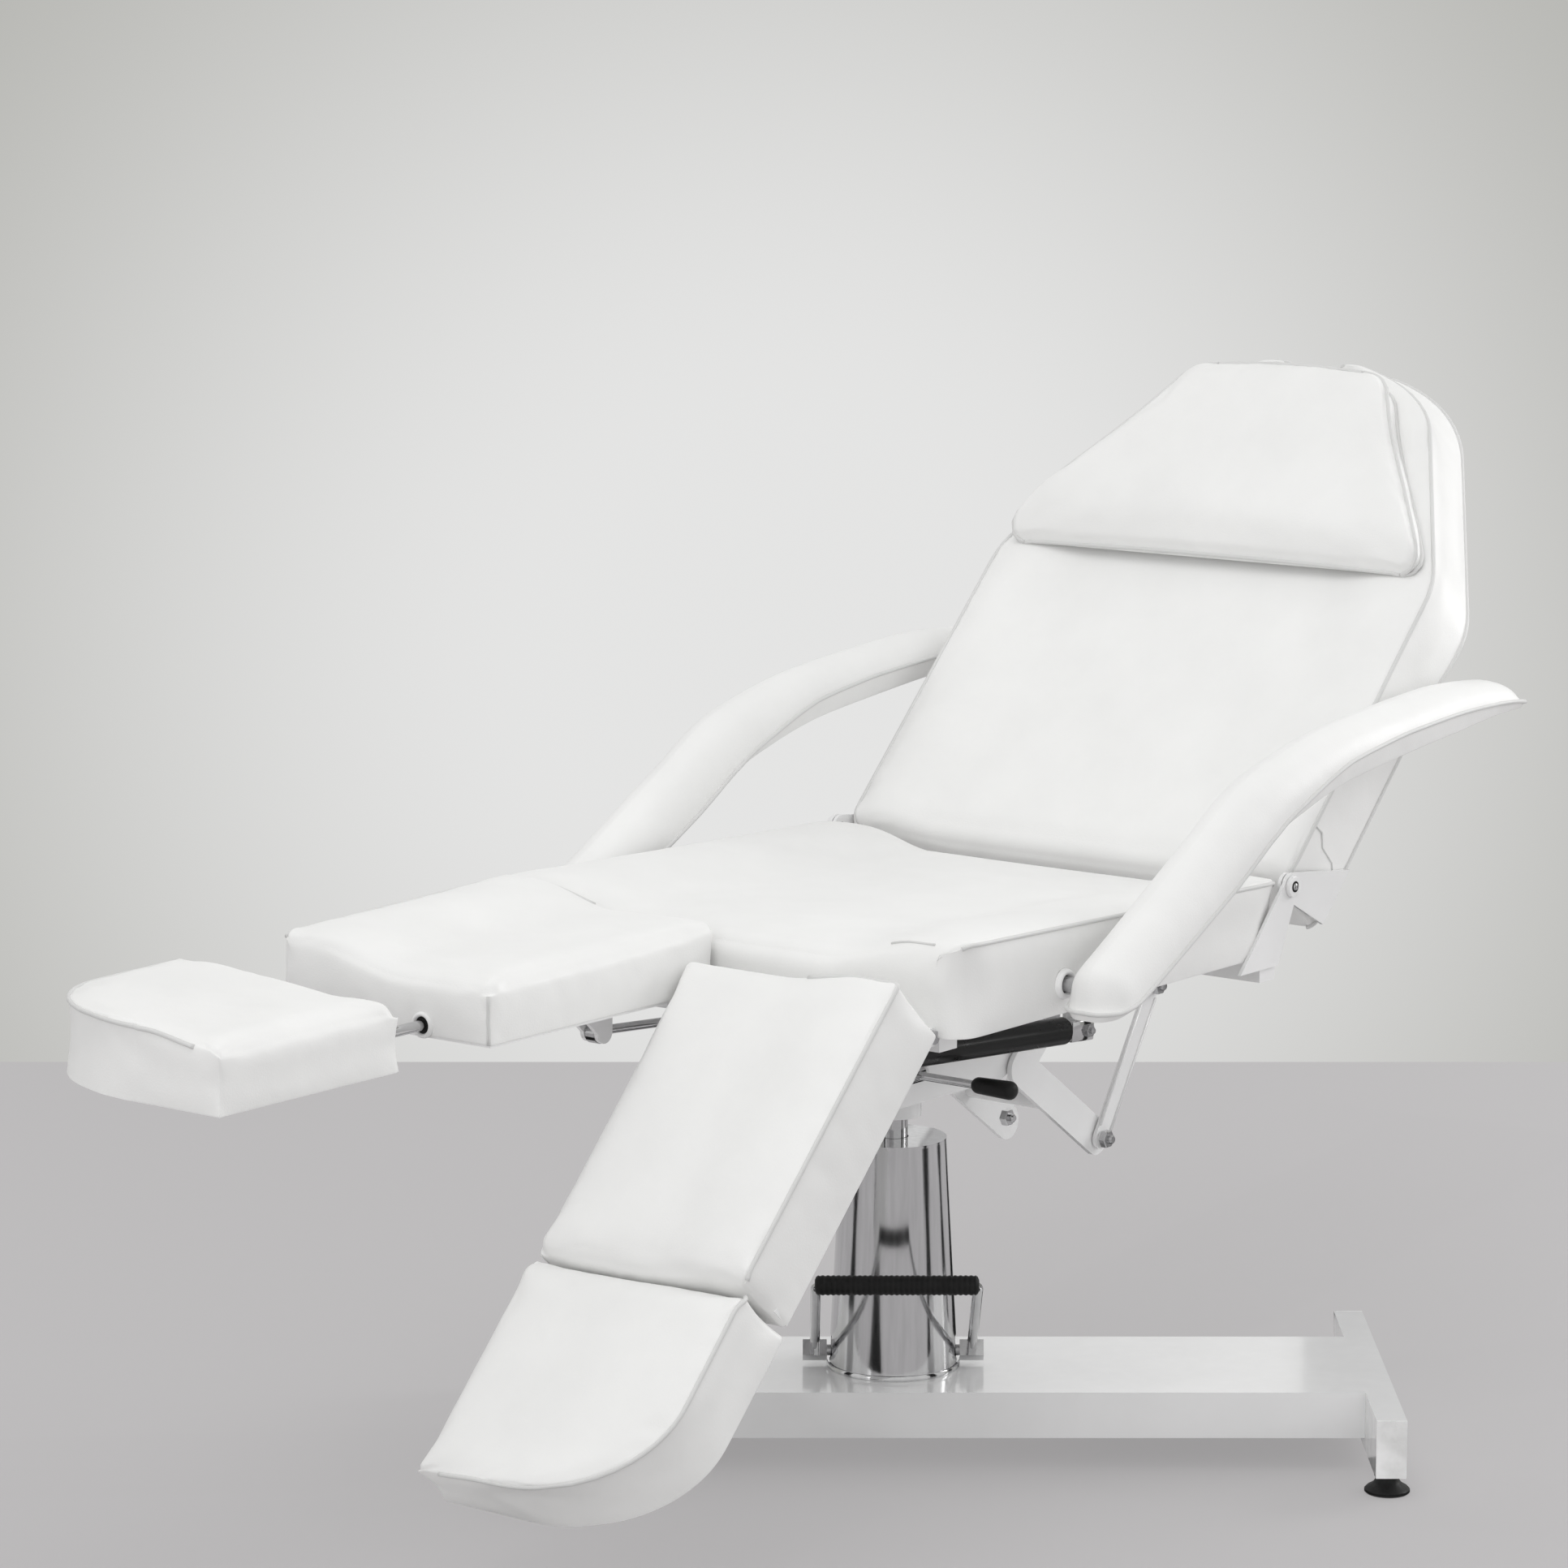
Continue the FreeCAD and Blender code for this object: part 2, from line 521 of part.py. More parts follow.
# Seat: frame of square tubes with the leg hinge ears, board and cushion



def tube_x(x0, x1, y):
    outer = box(x0, x1, f"{y} - tube / 2", f"{y} + tube / 2", "frame_bottom", "frame_top")
    inner = box(x0, x1, f"{y} - tube / 2 + tube_wall", f"{y} + tube / 2 - tube_wall",
                "frame_bottom + tube_wall", "frame_top - tube_wall")
    return cut(outer, inner)


def tube_y(x, y):
    """A cross tube whose front face is at x, reaching y to each side, with closed ends."""
    outer = box(x, f"{x} + tube", f"-({y})", y, "frame_bottom", "frame_top")
    inner = box(f"{x} + tube_wall", f"{x} + tube - tube_wall", f"tube_wall - ({y})", f"{y} - tube_wall",
                "frame_bottom + tube_wall", "frame_top - tube_wall")
    return cut(outer, inner)


rail_front = "-frame_front + tube"
rail_rear = "frame_rear - tube"
strut_fork = "(strut_eye_width / 2 + strut_fork_gap)"
anchor_reach = f"leg_middle + {strut_fork} + fin_thickness"
inner_ear = "(leg_inner + eye_inset + eye_width + ear_gap + ear_thickness / 2)"
outer_ear = "(leg_outer - eye_inset - eye_width - ear_gap - ear_thickness / 2)"
frame_pieces = [
    tube_y("-frame_front", f"{outer_ear} + tube / 2"),
    tube_y("frame_rear - tube", "seat_plate_inner"),
]
for side, sign in SIDES:
    frame_pieces.append(tube_x(rail_front, rail_rear, f"{sign} * rail"))
    between = side_range(sign, "rail + tube / 2", anchor_reach)
    frame_pieces.append(box(
        "anchor_x - tube / 2", "anchor_x + tube / 2", *between, "frame_bottom", "frame_top"))
ear_places = ["0"] + [f"{sign} * {place}" for sign in (-1, 1) for place in (inner_ear, outer_ear)]
for place in ear_places:
    layer = (f"{place} - ear_thickness / 2", f"{place} + ear_thickness / 2")
    frame_pieces.append(box("-leg_hinge_x", "-frame_front", *layer, "leg_hinge_z - ear_radius", "frame_top"))
    frame_pieces.append(cylinder("y", "-leg_hinge_x", "leg_hinge_z", *layer, "ear_radius"))
rod_place = ("y", "-leg_hinge_x", "leg_hinge_z", "-leg_rod_half", "leg_rod_half")
sub_part("seat_frame", cut(fuse(*frame_pieces), cylinder(*rod_place, "leg_rod_radius + close_fit")))
sub_part("leg_hinge_rod", cylinder(*rod_place, "leg_rod_radius"))

sub_part("seat_board", box(
    "board_inset - seat_front", "seat_rear - board_inset", "board_inset - seat_half_width",
    "seat_half_width - board_inset", "frame_top", "board_top"))

half = value("seat_half_width")
low = value("board_top")
high = value("seat_top")
end_draw = value("end_draw")
front = -value("seat_front")
rear = value("seat_rear")
seat_stations = [
    (front, -half + end_draw / 2, half - end_draw / 2, low, high - end_draw),
    (front + end_draw, -half, half, low, high),
    (rear - 4 * end_draw, -half, half, low, high),
    (rear - 2 * end_draw, -half + end_draw, half - end_draw, low, high - end_draw / 4),
    (rear, -half + 2 * end_draw, half - 2 * end_draw, low, high - end_draw)]
block_inner = "seat_half_width - block_recess - block_depth"
block_outer = "seat_half_width - block_recess"
room = "cushion_gap"
skirt_rear = "frame_rear - tube - cushion_gap"
skirt_low = "board_top - skirt_drop"
skirt_outline = [
    ("skirt_front - seat_front", "board_top"), ("skirt_front - seat_front + skirt_drop", skirt_low),
    (skirt_rear, skirt_low), (skirt_rear, "board_top")]
seat_skirts, seat_pockets, arm_blocks, grommets = [], [], [], []
arm_pivot = ("-arm_pivot_x", "arm_pivot_z")
for side, sign in SIDES:
    walls = ("-arm_pivot_x - block_half", "block_half - arm_pivot_x")
    heights = ("board_top", "board_top + block_rise")
    pin = cylinder("y", *arm_pivot, *side_range(sign, block_outer, "lower_bar_outer"), "arm_pin")
    arm_blocks.append(fuse(box(*walls, *side_range(sign, block_inner, block_outer), *heights), pin))
    seat_pockets.append(box(
        f"{walls[0]} - {room}", f"{walls[1]} + {room}",
        *side_range(sign, f"{block_inner} - {room}", f"{block_outer} + {room}"),
        heights[0], f"{heights[1]} + {room}"))
    seat_pockets.append(cylinder(
        "y", *arm_pivot, *side_range(sign, block_outer, "seat_half_width + tube"), f"arm_pin + {room}"))
    ring_inner = "seat_half_width + cushion_gap"
    ring_range = side_range(sign, ring_inner, f"{ring_inner} + grommet_thickness")
    grommets.append(cut(
        cylinder("y", *arm_pivot, *ring_range, "grommet_radius"),
        cylinder("y", *arm_pivot, *ring_range, "arm_pin + close_fit")))
    skirt_range = side_range(sign, "seat_half_width - skirt_wall", "seat_half_width")
    seat_skirts.append(plate(skirt_outline, *skirt_range))
sub_part("seat_cushion", cut(fuse(cushion(seat_stations, "-seat_dish"), *seat_skirts), *seat_pockets))
sub_part("arm_pivot_blocks", group(*arm_blocks))
sub_part("arm_grommets", group(*grommets))


# Back hinge plates on the seat, with their bolts

seat_plate_outline = [
    ("hinge_x - seat_plate_run", "frame_bottom + tube / 2"), ("frame_rear", "frame_bottom + tube / 2"),
    ("hinge_x + hinge_boss * cos(plate_lean)", "hinge_z - hinge_boss * sin(plate_lean)"),
    ("hinge_x - hinge_boss * sin(plate_lean)", "hinge_z + hinge_boss * cos(plate_lean)")]
seat_plates, bolts = [], []
hinge = ("hinge_x", "hinge_z")
for side, sign in SIDES:
    layer = side_range(sign, "seat_plate_inner", "seat_plate_outer")
    blank = fuse(plate(seat_plate_outline, *layer), cylinder("y", *hinge, *layer, "hinge_boss"))
    seat_plates.append(cut(blank, cylinder("y", *hinge, *layer, "hinge_bolt_radius + close_fit")))
    bolts.append(fuse(
        cylinder("y", *hinge, *side_range(sign, "hinge_inner", "seat_plate_outer"), "hinge_bolt_radius"),
        cylinder("y", *hinge, *side_range(sign, "seat_plate_outer", "seat_plate_outer + bolt_head"),
                 "bolt_head_radius")))
sub_part("seat_hinge_plates", group(*seat_plates))
sub_part("back_hinge_bolts", group(*bolts))


# Backrest, in its own axes: X up the back, Z out of the front face, hinge as origin

board_front = "back_board - back_thickness"
back_low = "-back_thickness"


def back_half_width(place):
    """Full width up to the shoulder, then a smooth taper to the neck."""
    shoulder = value("back_shoulder")
    run = min(max((place - shoulder) / (value("back_neck") - shoulder), 0), 1)
    narrow = value("neck_half_width")
    return narrow + (value("back_half_width") - narrow) * (1 + math.cos(math.pi * run)) / 2


start = value("back_start")
end = value("back_length")
neck = value("back_neck")
shoulder = value("back_shoulder")
low = value(board_front) + value("cushion_gap")
places = [start + end_draw] + [shoulder + (neck - shoulder) * quarter / 4 for quarter in range(5)]
narrow = value("neck_half_width")
foot_half = back_half_width(start) - end_draw
back_stations = [(start, -foot_half, foot_half, low, -end_draw)]
back_stations += [(place, -back_half_width(place), back_half_width(place), low, 0) for place in places]
for turn in (45, 90):
    fall = math.cos(math.radians(turn))
    crest = narrow * (1 + fall) / 2
    place = neck + (end - neck) * math.sin(math.radians(turn))
    back_stations.append((place, -crest, crest, low, -end_draw * (1 - fall)))

# Place of the strap pivot in the back's axes
horn_up = "(tip_out * cos(back_angle) - tip_drop * sin(back_angle))"
horn_out = "(-tip_drop * cos(back_angle) - tip_out * sin(back_angle))"

back_pockets, back_blocks = [], []
block_inner = "back_half_width - block_recess - block_depth"
block_outer = "back_half_width - block_recess"
for side, sign in SIDES:
    walls = ("arm_up - block_half", "arm_up + block_half")
    top = "arm_out + block_half"
    pin_range = side_range(sign, block_outer, "upper_bar_inner + arm_bar")
    pin = cylinder("y", "arm_up", "arm_out", *pin_range, "arm_pin")
    back_blocks.append(fuse(box(*walls, *side_range(sign, block_inner, block_outer), board_front, top), pin))
    back_pockets.append(box(
        f"{walls[0]} - {room}", f"{walls[1]} + {room}",
        *side_range(sign, f"{block_inner} - {room}", f"{block_outer} + {room}"),
        board_front, f"{top} + {room}"))
    bore_range = side_range(sign, block_outer, "back_half_width + tube")
    back_pockets.append(cylinder("y", "arm_up", "arm_out", *bore_range, f"arm_pin + {room}"))
sub_part("back_cushion", on_back(cut(cushion(back_stations, "back_crown"), *back_pockets)))
sub_part("back_arm_blocks", on_back(group(*back_blocks)))

board_outline = []
for place, width in [("hinge_boss", "hinge_inner"), ("back_shoulder", "hinge_inner"),
                     ("(back_shoulder + back_neck) / 2", "(back_half_width + neck_half_width) / 2"),
                     ("back_neck", "neck_half_width"), ("back_length - board_inset", "neck_half_width / 2")]:
    board_outline.append((place, width))
mirrored = [(place, f"-({width})") for place, width in reversed(board_outline)]
board_plate = turned(group(plate(board_outline + mirrored, "-back_board", "0")), X_AXIS, "-90", z=back_low)
sub_part("back_board", on_back(group(board_plate)))

back_plate_outline = [
    ("hinge_boss * sin(45)", "hinge_boss * cos(45)"), ("back_plate_run", back_low), ("hinge_boss", back_low),
    ("-hinge_boss * cos(plate_lean)", "-hinge_boss * sin(plate_lean)")]
horn_outline = [
    ("horn_low", back_low), ("horn_high", back_low),
    (f"{horn_up} + horn_boss * cos(45)", f"{horn_out} - horn_boss * sin(45)"),
    (f"{horn_up} - horn_boss * cos(45)", f"{horn_out} + horn_boss * sin(45)")]
back_plates, horns = [], []
for side, sign in SIDES:
    layer = side_range(sign, "hinge_inner", "hinge_inner + hinge_plate")
    blank = fuse(plate(back_plate_outline, *layer), cylinder("y", "0", "0", *layer, "hinge_boss"))
    back_plates.append(cut(blank, cylinder("y", "0", "0", *layer, "hinge_bolt_radius + close_fit")))
    layer = side_range(sign, "crank_inner", "crank_outer")
    pin = side_range(sign, "crank_inner", "strap_outer + pin_head")
    horns.append(fuse(
        plate(horn_outline, *layer), cylinder("y", horn_up, horn_out, *layer, "horn_boss"),
        cylinder("y", horn_up, horn_out, *pin, "crank_pin")))
sub_part("back_hinge_plates", on_back(group(*back_plates)))
sub_part("back_horns", on_back(group(*horns)))

start = value("pillow_start")
end = value("pillow_end")
wide = value("pillow_low_half")
slim = value("pillow_top_half")
low = value("back_crown + cushion_gap")
high = low + value("pillow_thickness")
pillow_stations = [
    (start, end_draw - wide, wide - end_draw, low, high - end_draw),
    (start + end_draw, -wide, wide, low, high - end_draw / 4),
    ((start + end) / 2, -(wide + slim) / 2, (wide + slim) / 2, low, high),
    (end - 2 * end_draw, -slim, slim, low, high - end_draw / 4),
    (end, 2 * end_draw - slim, slim - 2 * end_draw, low, high - end_draw)]
sub_part("head_pillow", on_back(group(cushion(pillow_stations, "pillow_crown", "pillow_round"))))


# Armrests: lower arm from the seat pivot to the elbow, upper arm from the elbow past the back pivot

arm_length = "sqrt(arm_reach^2 + arm_rise^2)"
bridge_x = "(hinge_x + arm_pivot_x)"
bridge_z = "(hinge_z - arm_pivot_z)"
bridge = f"sqrt({bridge_x}^2 + {bridge_z}^2)"
elbow = ("arm_reach - arm_pivot_x", "arm_rise + arm_pivot_z")
thick = value("pad_half")
drop = value("pad_drop")
reach = value(arm_length)
tip_x = value("upper_arm_length")
lower_profile = [
    (-value("pad_start"), -thick - drop / 2, thick - 2 * drop), (-end_draw, -thick - drop, thick - drop),
    (reach - 3 * thick, -thick - drop, thick - drop), (reach, -thick, thick)]
upper_profile = [
    (0, -thick, thick), (2 * thick, -thick, thick), (tip_x - 4 * thick, -thick - drop / 2, thick - drop / 2),
    (tip_x - thick, -thick - drop, thick - 2 * drop), (tip_x, -thick - drop, -drop)]


def on_lower(item):
    return turned(item, Y_AXIS, "-atan2(arm_rise; arm_reach)", arm_pivot[0], "0", arm_pivot[1])


def on_upper(item):
    return turned(item, Y_AXIS, f"-atan2({bridge_z}; {bridge_x})", elbow[0], "0", elbow[1])


for side, sign in SIDES:
    pad_range = side_range(sign, "pad_inner", "pad_inner + pad_width")
    y0, y1 = (value(text) for text in pad_range)
    lower_stations = [(x, y0, y1, low, high) for x, low, high in lower_profile]
    upper_stations = [(x, y0, y1, low, high) for x, low, high in upper_profile]
    knuckle_range = side_range(sign, "lower_bar_inner", "pad_inner + pad_width - cushion_draw")
    knuckle = cylinder("y", arm_length, "0", *knuckle_range, "pad_half")
    swing_range = side_range(sign, "0", "lower_bar_inner - arm_bar_gap / 2")
    swing_room = cylinder("y", arm_length, "0", *swing_range, "pad_half + elbow_gap")
    groove_width = "arm_bar_width + 2 * cushion_gap"
    groove_range = side_range(sign, "0", "lower_bar_outer + cushion_gap")
    lower_groove = round_bar((("0", "0"), (arm_length, "0")), groove_width, *groove_range)
    lower_pad = fuse(cushion(lower_stations, "pad_crown", "pad_round"), knuckle)
    sub_part(f"{side}_lower_arm_pad", on_lower(cut(lower_pad, lower_groove, swing_room)))
    room_range = side_range(sign, "pad_inner - pad_half", "pad_inner + pad_width + pad_half")
    elbow_room = cylinder("y", "0", "0", *room_range, "pad_half + elbow_gap")
    groove_range = side_range(sign, "0", "upper_bar_inner + arm_bar + cushion_gap")
    upper_groove = round_bar((("0", "0"), (bridge, "0")), groove_width, *groove_range)
    upper_pad = cut(cushion(upper_stations, "pad_crown", "pad_round"), elbow_room, upper_groove)
    sub_part(f"{side}_upper_arm_pad", on_upper(upper_pad))

    layer = side_range(sign, "lower_bar_inner", "lower_bar_outer")
    straight = round_bar((("0", "0"), (arm_length, "0")), "arm_bar_width", *layer)
    pin_range = side_range(sign, "upper_bar_inner", "lower_bar_inner")
    elbow_pin = cylinder("y", arm_length, "0", *pin_range, "arm_pin")
    sub_part(f"{side}_lower_arm_bar", on_lower(fuse(
        cut(straight, cylinder("y", "0", "0", *layer, "arm_pin + close_fit")), elbow_pin)))

    layer = side_range(sign, "upper_bar_inner", "upper_bar_inner + arm_bar")
    straight = round_bar((("0", "0"), (bridge, "0")), "arm_bar_width", *layer)
    holes = [cylinder("y", place, "0", *layer, "arm_pin + close_fit") for place in ("0", bridge)]
    sub_part(f"{side}_upper_arm_bar", on_upper(cut(straight, *holes)))


# Leg rests, in their own axes: -X away from the seat, hinge as origin, raised level

rod_height = "(leg_low + calf_frame / 2)"
calf_end = "(-calf_gap - calf_length)"
foot_start = f"({calf_end} - leg_gap)"
foot_end = f"({foot_start} - foot_length)"
frame_top_line = "leg_low + calf_frame"
corner = value("foot_corner")
inner = value("leg_inner")
outer = value("leg_outer")
tuck = value("leg_tuck")
high = value("leg_top")


def pulled(side, item):
    """Moves a foot rest's item out along its leg rest, as far as that side is pulled."""
    pull = "0" if side == "left" else "-foot_pull"
    return on_leg(side, group(put(group(item), x=pull)))


def across(sign, near, far):
    return sorted((sign * near, sign * far))


for side, sign in SIDES:
    full = across(sign, inner, outer)
    drawn = across(sign, inner + tuck, outer - end_draw / 2)
    low = value(f"{frame_top_line} + cushion_gap")
    first = -value("calf_gap")
    last = value(calf_end)
    calf_stations = [
        (first, *drawn, low, high - end_draw), (first - end_draw, *full, low, high),
        (last + end_draw, *full, low, high), (last, *drawn, low, high - end_draw)]
    sub_part(f"{side}_calf_cushion", on_leg(side, group(cushion(calf_stations, "-leg_dish"))))

    first = value(foot_start)
    last = value(foot_end)
    low = value("leg_low")
    foot_stations = [(first, *drawn, low, high - end_draw), (first - end_draw, *full, low, high)]
    for turn in (0, 30, 55, 75):
        past = corner * math.sin(math.radians(turn))
        edge = outer - corner * (1 - math.cos(math.radians(turn)))
        foot_stations.append((last + corner - past, *across(sign, inner, edge), low, high))
    foot_stations.append((last, *across(sign, inner + tuck, outer - corner), low, high - end_draw))
    foot_rods, foot_bores, calf_bores = [], [], []
    for spread in ("-foot_rod_spread", "foot_rod_spread"):
        y = f"{sign} * (leg_middle + {spread})"
        inner_end = f"{foot_start} + leg_gap + foot_rod_in_calf"
        outer_end = f"{foot_start} - foot_rod_in_foot"
        bore = "foot_rod_radius + close_fit"
        foot_rods.append(cylinder("x", y, rod_height, outer_end, inner_end, "foot_rod_radius"))
        foot_bores.append(cylinder("x", y, rod_height, outer_end, foot_start, bore))
        calf_bores.append(cylinder("x", y, rod_height, calf_end, f"{inner_end} + leg_gap", bore))
    sub_part(f"{side}_foot_cushion", pulled(side, cut(cushion(foot_stations, "-leg_dish"), *foot_bores)))
    sub_part(f"{side}_foot_rods", pulled(side, group(*foot_rods)))

    pan_range = side_range(sign, "leg_inner + frame_inset", "leg_outer - frame_inset")
    pan = box(f"{calf_end} + frame_inset", "-calf_gap - frame_inset", *pan_range, "leg_low", frame_top_line)
    pieces = [cut(pan, *calf_bores)]
    for place in ("leg_inner + eye_inset", "leg_outer - eye_inset - eye_width"):
        layer = side_range(sign, place, f"{place} + eye_width")
        pieces.append(cylinder("y", "0", "0", *layer, "ear_radius"))
        pieces.append(box("-eye_width * 2", "-ear_radius / 4", *layer, "ear_radius / 2", "leg_low"))
    fin_outline = [
        ("-strut_pin_out - fin_run", "leg_low"), ("-strut_pin_out + fin_boss", "leg_low"),
        ("-strut_pin_out + fin_boss", "-strut_pin_drop"), ("-strut_pin_out - fin_boss", "-strut_pin_drop")]
    for fin_side in (-1, 1):
        near = f"leg_middle + {fin_side} * {strut_fork}"
        far = f"leg_middle + {fin_side} * ({strut_fork} + fin_thickness)"
        layer = side_range(sign, near, far) if fin_side > 0 else side_range(sign, far, near)
        pieces.append(plate(fin_outline, *layer))
        pieces.append(cylinder("y", "-strut_pin_out", "-strut_pin_drop", *layer, "fin_boss"))
    pin_reach = side_range(sign, f"leg_middle - {strut_fork}", f"leg_middle + {strut_fork}")
    pieces.append(cylinder("y", "-strut_pin_out", "-strut_pin_drop", *pin_reach, "strut_pin"))
    hinge_bore = cylinder("y", "0", "0", *side_range(sign, "0", "leg_outer"), "leg_rod_radius + close_fit")
    sub_part(f"{side}_calf_frame", on_leg(side, cut(fuse(*pieces), hinge_bore)))


# Gas struts, along -X from their rear pin, then tilted to the line through both places of the leg pin

raised_pin = ("(-leg_hinge_x - strut_pin_out)", "(leg_hinge_z - strut_pin_drop)")
lowered_pin = (
    "(strut_pin_drop * sin(lowered_angle) - strut_pin_out * cos(lowered_angle) - leg_hinge_x)",
    "(leg_hinge_z - strut_pin_out * sin(lowered_angle) - strut_pin_drop * cos(lowered_angle))")
strut_slope = f"atan2({raised_pin[1]} - {lowered_pin[1]}; {lowered_pin[0]} - {raised_pin[0]})"
anchor_z = f"({raised_pin[1]} - (anchor_x - {raised_pin[0]}) * tan({strut_slope}))"
eye_drop = "(sqrt(strut_pin_out^2 + strut_pin_drop^2) * (1 - cos(lowered_angle / 2)) / 2)"


def on_strut(item):
    return turned(item, Y_AXIS, strut_slope, "anchor_x", "0", anchor_z)


gas_front = "(-gas_start - gas_length)"
gas_wall_end = f"{gas_front} + 2 * gas_wall"
anchors, gas_cylinders = [], []
for side, sign in SIDES:
    middle = f"{sign} * leg_middle"
    eye_layer = (f"{middle} - strut_eye_width / 2", f"{middle} + strut_eye_width / 2")
    shell = fuse(
        cylinder("x", middle, "0", gas_front, "-gas_start", "gas_radius"),
        box("-gas_start", "0", *eye_layer, "-strut_eye", "strut_eye"),
        cylinder("y", "0", "0", *eye_layer, "strut_eye"))
    gas_cylinders.append(cut(
        shell, cylinder("x", middle, "0", gas_wall_end, "-gas_start - gas_wall", "gas_radius - gas_wall"),
        cylinder("x", middle, "0", gas_front, gas_wall_end, "gas_rod_radius + close_fit"),
        cylinder("y", "0", "0", *eye_layer, "strut_pin + close_fit")))
    tabs = []
    for tab_side in (-1, 1):
        near = f"{middle} + {tab_side} * {strut_fork}"
        far = f"{middle} + {tab_side} * ({strut_fork} + fin_thickness)"
        layer = (near, far) if tab_side > 0 else (far, near)
        tabs.append(box("anchor_x - strut_eye", "anchor_x + strut_eye", *layer, anchor_z, "frame_bottom"))
        tabs.append(cylinder("y", "anchor_x", anchor_z, *layer, "strut_eye"))
    pin_range = (f"{middle} - {strut_fork}", f"{middle} + {strut_fork}")
    pin = cylinder("y", "anchor_x", anchor_z, *pin_range, "strut_pin")
    anchors.append(fuse(*tabs, pin))
    leg_pin = lowered_pin if side == "left" else raised_pin
    pin_place = f"({leg_pin[0]} - anchor_x) / cos({strut_slope})"
    rod_end = f"{gas_front} + gas_rod_inside"
    rod = fuse(
        cylinder("x", middle, "0", pin_place, rod_end, "gas_rod_radius"),
        cylinder("x", middle, "0", f"{rod_end} - piston_length", rod_end,
                 "gas_radius - gas_wall - close_fit"),
        cylinder("y", pin_place, f"-{eye_drop}", *eye_layer, "strut_eye"))
    eye_bore = f"strut_pin + {eye_drop} + strut_eye_clearance"
    eye_hole = cylinder("y", pin_place, f"-{eye_drop}", *eye_layer, eye_bore)
    sub_part(f"{side}_gas_rod", on_strut(cut(rod, eye_hole)))
sub_part("gas_cylinders", on_strut(group(*gas_cylinders)))
sub_part("strut_anchors", group(*anchors))


# Lock lever on the left side plate

ear_gap = "(lever_eye + lever_ear_gap)"
lever_line = ("-lever_pivot", "lever_z")
ears = []
for sign in (-1, 1):
    near = f"{sign} * {ear_gap} - lever_x"
    far = f"{sign} * ({ear_gap} + lever_ear) - lever_x"
    layer = (near, far) if sign > 0 else (far, near)
    ears.append(box(
        *layer, "-lever_pivot", "-carrier_outer", "lever_z - lever_eye", "lever_z + lever_eye"))
    ears.append(cylinder("x", *lever_line, *layer, "lever_eye"))
pin_range = (f"-{ear_gap} - lever_ear - lever_x", f"{ear_gap} + lever_ear - lever_x")
ears.append(cylinder("x", *lever_line, *pin_range, "lever_pin"))
sub_part("lock_lever_bracket", fuse(*ears))
lever = fuse(
    cylinder("x", *lever_line, "-lever_eye - lever_x", "lever_eye - lever_x", "lever_eye"),
    cylinder("y", "-lever_x", "lever_z", "-lever_reach", "-lever_pivot", "lever_rod_radius"))
sub_part("lock_lever_rod", cut(lever, cylinder(
    "x", *lever_line, "-lever_eye - lever_x", "lever_eye - lever_x", "lever_pin + close_fit")))
grip_range = ("-lever_reach", "lever_grip_length - lever_reach")
sub_part("lock_lever_grip", cut(
    cylinder("y", "-lever_x", "lever_z", *grip_range, "lever_grip_radius"),
    cylinder("y", "-lever_x", "lever_z", *grip_range, "lever_rod_radius + close_fit")))


# Checks and files

doc.recompute()
for item in doc.Objects:
    if "Invalid" in item.State or "Error" in item.State:
        raise RuntimeError(f"{item.Name} ({item.Label}) failed: {item.State}")
os.makedirs("parts", exist_ok=True)
for label, item in sub_parts.items():
    shape = item.Shape
    if shape.isNull() or not shape.isValid() or not shape.Solids:
        raise RuntimeError(f"{label} has no valid solid")
    shape.exportStep(f"parts/{label}.step")
    print(f"{label}: {len(shape.Solids)} solids, {shape.Volume / 1000:.1f} cm3")
print(len(sub_parts), "sub-parts")
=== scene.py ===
import json
import math

import bmesh
import bpy
import numpy as np
from mathutils import Matrix, Vector


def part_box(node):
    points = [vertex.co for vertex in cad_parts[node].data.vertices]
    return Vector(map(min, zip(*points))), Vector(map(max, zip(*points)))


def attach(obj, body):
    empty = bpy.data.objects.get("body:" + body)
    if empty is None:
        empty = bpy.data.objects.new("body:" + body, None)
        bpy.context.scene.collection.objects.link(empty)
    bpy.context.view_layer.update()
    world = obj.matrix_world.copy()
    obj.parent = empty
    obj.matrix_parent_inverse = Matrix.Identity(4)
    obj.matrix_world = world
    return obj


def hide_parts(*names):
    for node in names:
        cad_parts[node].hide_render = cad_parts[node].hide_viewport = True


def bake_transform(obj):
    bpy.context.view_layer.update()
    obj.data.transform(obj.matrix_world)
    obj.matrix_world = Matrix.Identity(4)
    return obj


# Looks of a hydraulic treatment chair-bed: upholstery, finishes, small fittings, stage and camera.
# Metres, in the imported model's frame: +X to the head end, +Z up, left is the sitter's left at -Y.

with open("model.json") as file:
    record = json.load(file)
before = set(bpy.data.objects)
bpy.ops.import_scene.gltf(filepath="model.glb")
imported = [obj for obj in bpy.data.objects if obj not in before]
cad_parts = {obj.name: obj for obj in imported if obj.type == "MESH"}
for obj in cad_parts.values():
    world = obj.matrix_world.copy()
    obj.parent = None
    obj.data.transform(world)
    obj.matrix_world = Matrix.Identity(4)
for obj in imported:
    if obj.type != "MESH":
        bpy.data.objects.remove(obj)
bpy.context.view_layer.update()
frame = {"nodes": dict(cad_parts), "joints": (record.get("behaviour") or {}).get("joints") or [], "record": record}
scene = bpy.context.scene
NODES = frame["nodes"]
JOINTS = {joint["name"]: joint for joint in frame["joints"]}
SIDES = (("left", -1), ("right", 1))
Y_AXIS = Vector((0, 1, 0))


# Places read from the frame

def joint_point(name):
    return Vector(JOINTS[name]["pos_m"])


